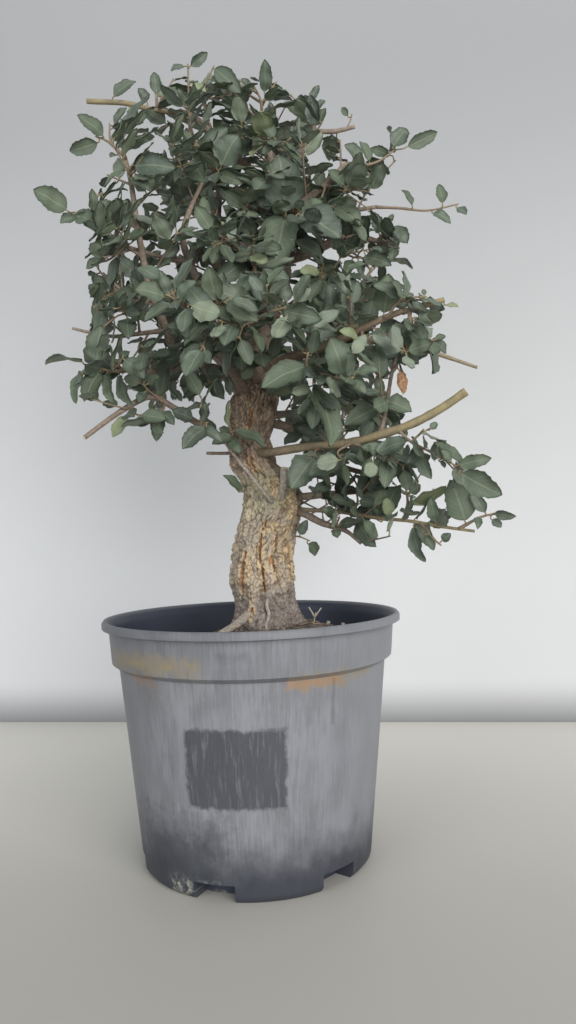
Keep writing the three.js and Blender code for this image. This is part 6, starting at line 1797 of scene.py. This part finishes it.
def sawn_wood(shader, settings):
    return {"Base Color": shader.mix(shader.noise(shader.place(), 500.0), *SAWN_WOOD), "Roughness": 0.85}


def fissured_bark(shader, settings):
    """Cork; tint holds thin cracks, long cracks and pale lips, and ages tone, upper bark and hue."""
    crack, inside, cream = shader.tint()
    tone, older, hue = shader.tint("ages")
    place = shader.place()
    x, y, z = shader.split(place)
    span, base, tones = shader.span, settings.plate_color, CORK_TONES
    grain = shader.noise(place, 420.0, 5.0, 0.65)
    streak = shader.noise(shader.join(x, y, z * 0.3), 330.0)
    flecks = shader.noise(shader.join(x, y, z * 0.4), 650.0, 2.0)
    brown = shader.mix(span(streak, 0.35, 0.65), tones["brown_low"], tones["brown_high"])
    orange = shader.mix(span(streak, 0.36, 0.6), tones["rust"], settings.crack_color)
    color = shader.layers(
        shaded(base, 0.78), (tone, shaded(base, 1.12)), (span(hue, 0.5, 0.95, 0.0, 0.75), tones["green"]),
        (span(hue, 0.05, 0.5, 0.85, 0.0), tones["ashen"]),
        (span(shader.noise(place, 70.0), 0.45, 0.7, 0.0, 0.45), tones["grey"]),
        (cream * 0.85, tones["cream"]), (older * span(cream, 0.3, 1.0, 0.9, 0.35), brown),
        (span(grain, 0.52, 0.72, 0.0, 0.5), shaded(base, 1.35)),
        # The second layer below, dark where the tint marks cracks, pits and hollows, is partly the cork's own
        # colour and partly painted shade.
        (span(grain, 0.3, 0.48, 0.65, 0.0), tones["pit"]), (crack * 0.8, tones["crack"]),
        (span(flecks, 0.28, 0.42, 0.7, 0.0), tones["fleck"]), (span(inside, 0.1, 0.75, 0.0, 0.88), orange))
    height = grain * 0.8 + shader.noise(place, 800.0, 2.0, 0.6) * 0.35
    return shader.skin(color, 0.9, height, 0.9, 0.0018)


def weathered_plastic(shader, settings):
    """Chalky, streaked plastic with its stains and marks, by the arc from the front and the height, with
    painted light on its right side and painted shade on its left side and inside.
    """
    x, y, z = shader.split(shader.place())
    arc = x.math("ARCTAN2", y * -1.0) * POT_ARC_RADIUS
    place = shader.join(arc, z, 0.0)
    span, base = shader.span, settings.pot_color
    streak = shader.group(new_group("Streaks", "Place", (), ("Mask",), streaks), {"Place": place})[0]
    group = new_group("Patch", "Place", MARK_INPUTS, ("Mask",), mark)
    marks = {name: shader.group(group, {"Place": place, **dict(zip(MARK_INPUTS, shaded(sizes, MM)))})[0]
             for name, sizes in POT_MARKS.items()}
    cloud = shader.noise(place, 28.0, 4.0, 0.6)
    speck = shader.noise(place, 600.0, 3.0, 0.6)
    worn = span(shader.noise(place, 34.0, 4.0), 0.3, 0.62, 0.3, 0.8)
    dust = span(shader.noise(place, 55.0, 5.0, 0.7), 0.66, 0.72) * span(z, 0.02, 0.1, 0.6, 0.1)
    wear = shader.noise(shader.join((arc + cloud * 0.007) * 420.0, z * 40.0, cloud), 1.0, 5.0, 0.65)
    color = shader.layers(
        shaded(base, 0.74), (span(streak, 0.36, 0.66), shaded(base, 1.18)),
        (span(cloud, 0.35, 0.7, 0.0, 0.4), shaded(base, 1.22)), (span(z, 0.166, 0.17, 0.0, 0.17), SEAM_SHADE),
        # Painted light lightens the pot's right side (end of the next line), and painted shade darkens its
        # left side (the line after).
        (span(z, 0.1995, 0.2015, 0.0, 0.2), SEAM_SHADE), (span(x, 0.023, 0.11, 0.0, 0.5), shaded(base, 1.3)),
        (span(x, -0.11, -0.055, 0.3, 0.0), shaded(base, 0.6)),
        (span(z + cloud * 0.05, 0.035, 0.085, 0.95, 0.0), FOOT_GRIME), (marks["smudge"] * 0.66, SMUDGE),
        (marks["worn"] * 0.9, shader.mix(span(wear, 0.5, 0.74, 0.0, 0.7), WORN_PATCH, shaded(base, 0.85))),
        (marks["ochre"] * worn, settings.stain_color), (marks["stain_right"] * worn, settings.stain_color),
        (marks["speckles"] * span(speck, 0.5, 0.62, 0.0, 0.5), settings.stain_color),
        (marks["rust_left"] * worn, POT_RUST), (marks["rust_right"] * worn, POT_RUST),
        (marks["chalk"] * span(shader.noise(place, 190.0, 4.0, 0.65), 0.42, 0.62, 0.0, 0.8), CHALK),
        (marks["scratch"] * 0.4, SCRATCH), (marks["drip"] * 0.5, DRIP),
        # After the dust, painted shade makes the faces inside the wall much darker.
        (dust, shaded(base, 1.9)), (shader.tint()[0], shader.mix(streak, *POT_INSIDE_PAINTED_SHADE)))
    return shader.skin(color, span(streak, 0.3, 0.7, 0.42, 0.6), speck * 0.3 + streak * 0.4, 0.25, 0.0005)


def potting_soil(shader, settings):
    tone, warm, straw = shader.tint()
    grain = shader.noise(shader.place(), 700.0, 4.0, 0.7)
    base = settings.soil_color
    color = shader.layers(
        shaded(base, 0.35), (tone, shaded(base, 1.9)),
        (shader.span(grain, 0.4, 0.7, 0.0, 0.5), shaded(base, 0.4)), (warm * 0.7, WARM_GRAIN), (straw, STRAW))
    return shader.skin(color, 0.95, grain, 0.8, 0.001)


def withered_leaf(shader, settings):
    grain = shader.noise(shader.place(), 300.0)
    return shader.skin(shader.mix(shader.span(grain, 0.35, 0.7), *DRY_LEAF_TONES), 0.8, grain, 0.5, 0.0008)


def floor_paint(shader, settings):
    """Pale matt paint with painted light, a little lighter towards the wall."""
    far = shader.span(shader.split(shader.place())[1], -0.35, 0.45, 0.58, 1.0)
    return {"Base Color": shader.mix(far, BLACK, settings.floor_color), "Roughness": 0.55}


def wall_paint(shader, settings):
    """Pale wall paint with painted shade, a little darker towards the ceiling, the right and the floor's far
    edge.
    """
    across, _, height = shader.split(shader.place())
    shade = shader.span(height, 0.18, 1.0, 1.0, 0.53) * shader.span(height, -0.014, 0.064, 0.36, 1.0)
    shade = shade * shader.span(across, -0.35, 0.35, 1.0, 0.92)
    return {"Base Color": shader.mix(shade, BLACK, settings.wall_color), "Roughness": 0.9}


FINISHES = {finish.__name__: finish for finish in (
    leaf_upper, leaf_under, twig_bark, sawn_wood, fissured_bark, weathered_plastic, potting_soil,
    withered_leaf, floor_paint, wall_paint)}


# Settings, operators and panel
def color_property(name, where, default):
    return FloatVectorProperty(name=name, description="Colour of " + where, default=default,
                               subtype="COLOR", size=3, min=0, max=1)


class BonsaiLooks(bpy.types.PropertyGroup):
    upper_color: color_property("Leaf top", "a leaf's upper face", (0.096, 0.125, 0.094))
    under_color: color_property("Leaf underside", "a leaf's lower face", (0.2, 0.235, 0.19))
    young_color: color_property("Young leaf", "the youngest leaves", (0.28, 0.32, 0.18))
    vein_color: color_property("Veins", "the midrib and veins", (0.28, 0.32, 0.2))
    twig_color: color_property("Twigs", "bare twigs", (0.2, 0.155, 0.12))
    shoot_color: color_property("Shoots", "young shoots and leaf stalks", (0.27, 0.225, 0.1))
    plate_color: color_property("Cork plates", "the bark's raised plates", (0.55, 0.46, 0.34))
    crack_color: color_property("Cork cracks", "the cork inside long cracks", (0.47, 0.24, 0.095))
    pot_color: color_property("Pot", "the pot's plastic", (0.2, 0.205, 0.225))
    stain_color: color_property("Pot stains", "the stains under the rim", (0.27, 0.212, 0.105))
    soil_color: color_property("Soil", "the potting soil", (0.13, 0.105, 0.087))
    floor_color: color_property("Floor", "the table top", (0.7, 0.68, 0.625))
    wall_color: color_property("Wall", "the wall behind", (0.735, 0.743, 0.758))
    bark_depth: FloatProperty(name="Bark depth", description="How deep the cracks of the trunk's bark are",
                              default=0.0037, min=0.0, max=0.008, unit="LENGTH", precision=4)
    leaf_share: FloatProperty(name="Leaf density", description="How closely the finer leaves stand",
                              default=1.0, min=0.0, max=1.5, subtype="FACTOR")
    key_power: FloatProperty(name="Light", description="Power of the main light", default=55.0, min=0.0,
                             unit="POWER")
    sky_strength: FloatProperty(name="Sky", description="Strength of the even light", default=0.4, min=0.0)


class BONSAI_OT_trunk(bpy.types.Operator):
    """Builds the fissured trunk, its roots and the limbs"""
    bl_idname = "bonsai.trunk"
    bl_label = "Trunk and limbs"

    def execute(self, context):
        for made in (build_trunk(looks().bark_depth / MM), build_limbs()):
            settle(made, "cork_bark", "trunk_and_limbs")
        return {"FINISHED"}


class BONSAI_OT_foliage(bpy.types.Operator):
    """Builds the leaves, stalks and shoots of every leafy spray"""
    bl_idname = "bonsai.foliage"
    bl_label = "Foliage"

    def execute(self, context):
        build_foliage(looks().leaf_share)
        return {"FINISHED"}


class BONSAI_OT_dry_leaf(bpy.types.Operator):
    """Builds the curled dead leaf"""
    bl_idname = "bonsai.dry_leaf"
    bl_label = "Dry leaf"

    def execute(self, context):
        build_dry_leaf()
        return {"FINISHED"}


class BONSAI_OT_soil(bpy.types.Operator):
    """Builds the soil and the bits that lie on it"""
    bl_idname = "bonsai.soil"
    bl_label = "Soil"

    def execute(self, context):
        build_soil()
        build_litter()
        return {"FINISHED"}


class BONSAI_OT_pot(bpy.types.Operator):
    """Builds the weathered nursery pot"""
    bl_idname = "bonsai.pot"
    bl_label = "Pot"

    def execute(self, context):
        build_pot()
        return {"FINISHED"}


class BONSAI_OT_stage(bpy.types.Operator):
    """Builds the floor, wall, lights and camera"""
    bl_idname = "bonsai.stage"
    bl_label = "Stage"

    def execute(self, context):
        build_stage()
        return {"FINISHED"}


STEPS = (BONSAI_OT_pot, BONSAI_OT_soil, BONSAI_OT_trunk, BONSAI_OT_foliage, BONSAI_OT_dry_leaf,
         BONSAI_OT_stage)


class BONSAI_PT_panel(bpy.types.Panel):
    bl_label = "Bonsai"
    bl_idname = "BONSAI_PT_panel"
    bl_space_type = "VIEW_3D"
    bl_region_type = "UI"
    bl_category = "Bonsai"

    def draw(self, context):
        column = self.layout.column()
        for name in BonsaiLooks.__annotations__:
            column.prop(looks(), name)
        for step in STEPS:
            column.operator(step.bl_idname)


CLASSES = (BonsaiLooks, *STEPS, BONSAI_PT_panel)


def register():
    for cls in CLASSES:
        bpy.utils.register_class(cls)
    bpy.types.Scene.bonsai_looks = PointerProperty(type=BonsaiLooks)


def unregister():
    del bpy.types.Scene.bonsai_looks
    for cls in reversed(CLASSES):
        bpy.utils.unregister_class(cls)


def main():
    register()
    bpy.ops.bonsai.pot()
    bpy.ops.bonsai.soil()
    bpy.ops.bonsai.trunk()
    bpy.ops.bonsai.foliage()
    bpy.ops.bonsai.dry_leaf()
    bpy.ops.bonsai.stage()
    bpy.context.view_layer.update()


if __name__ == "__main__":
    main()
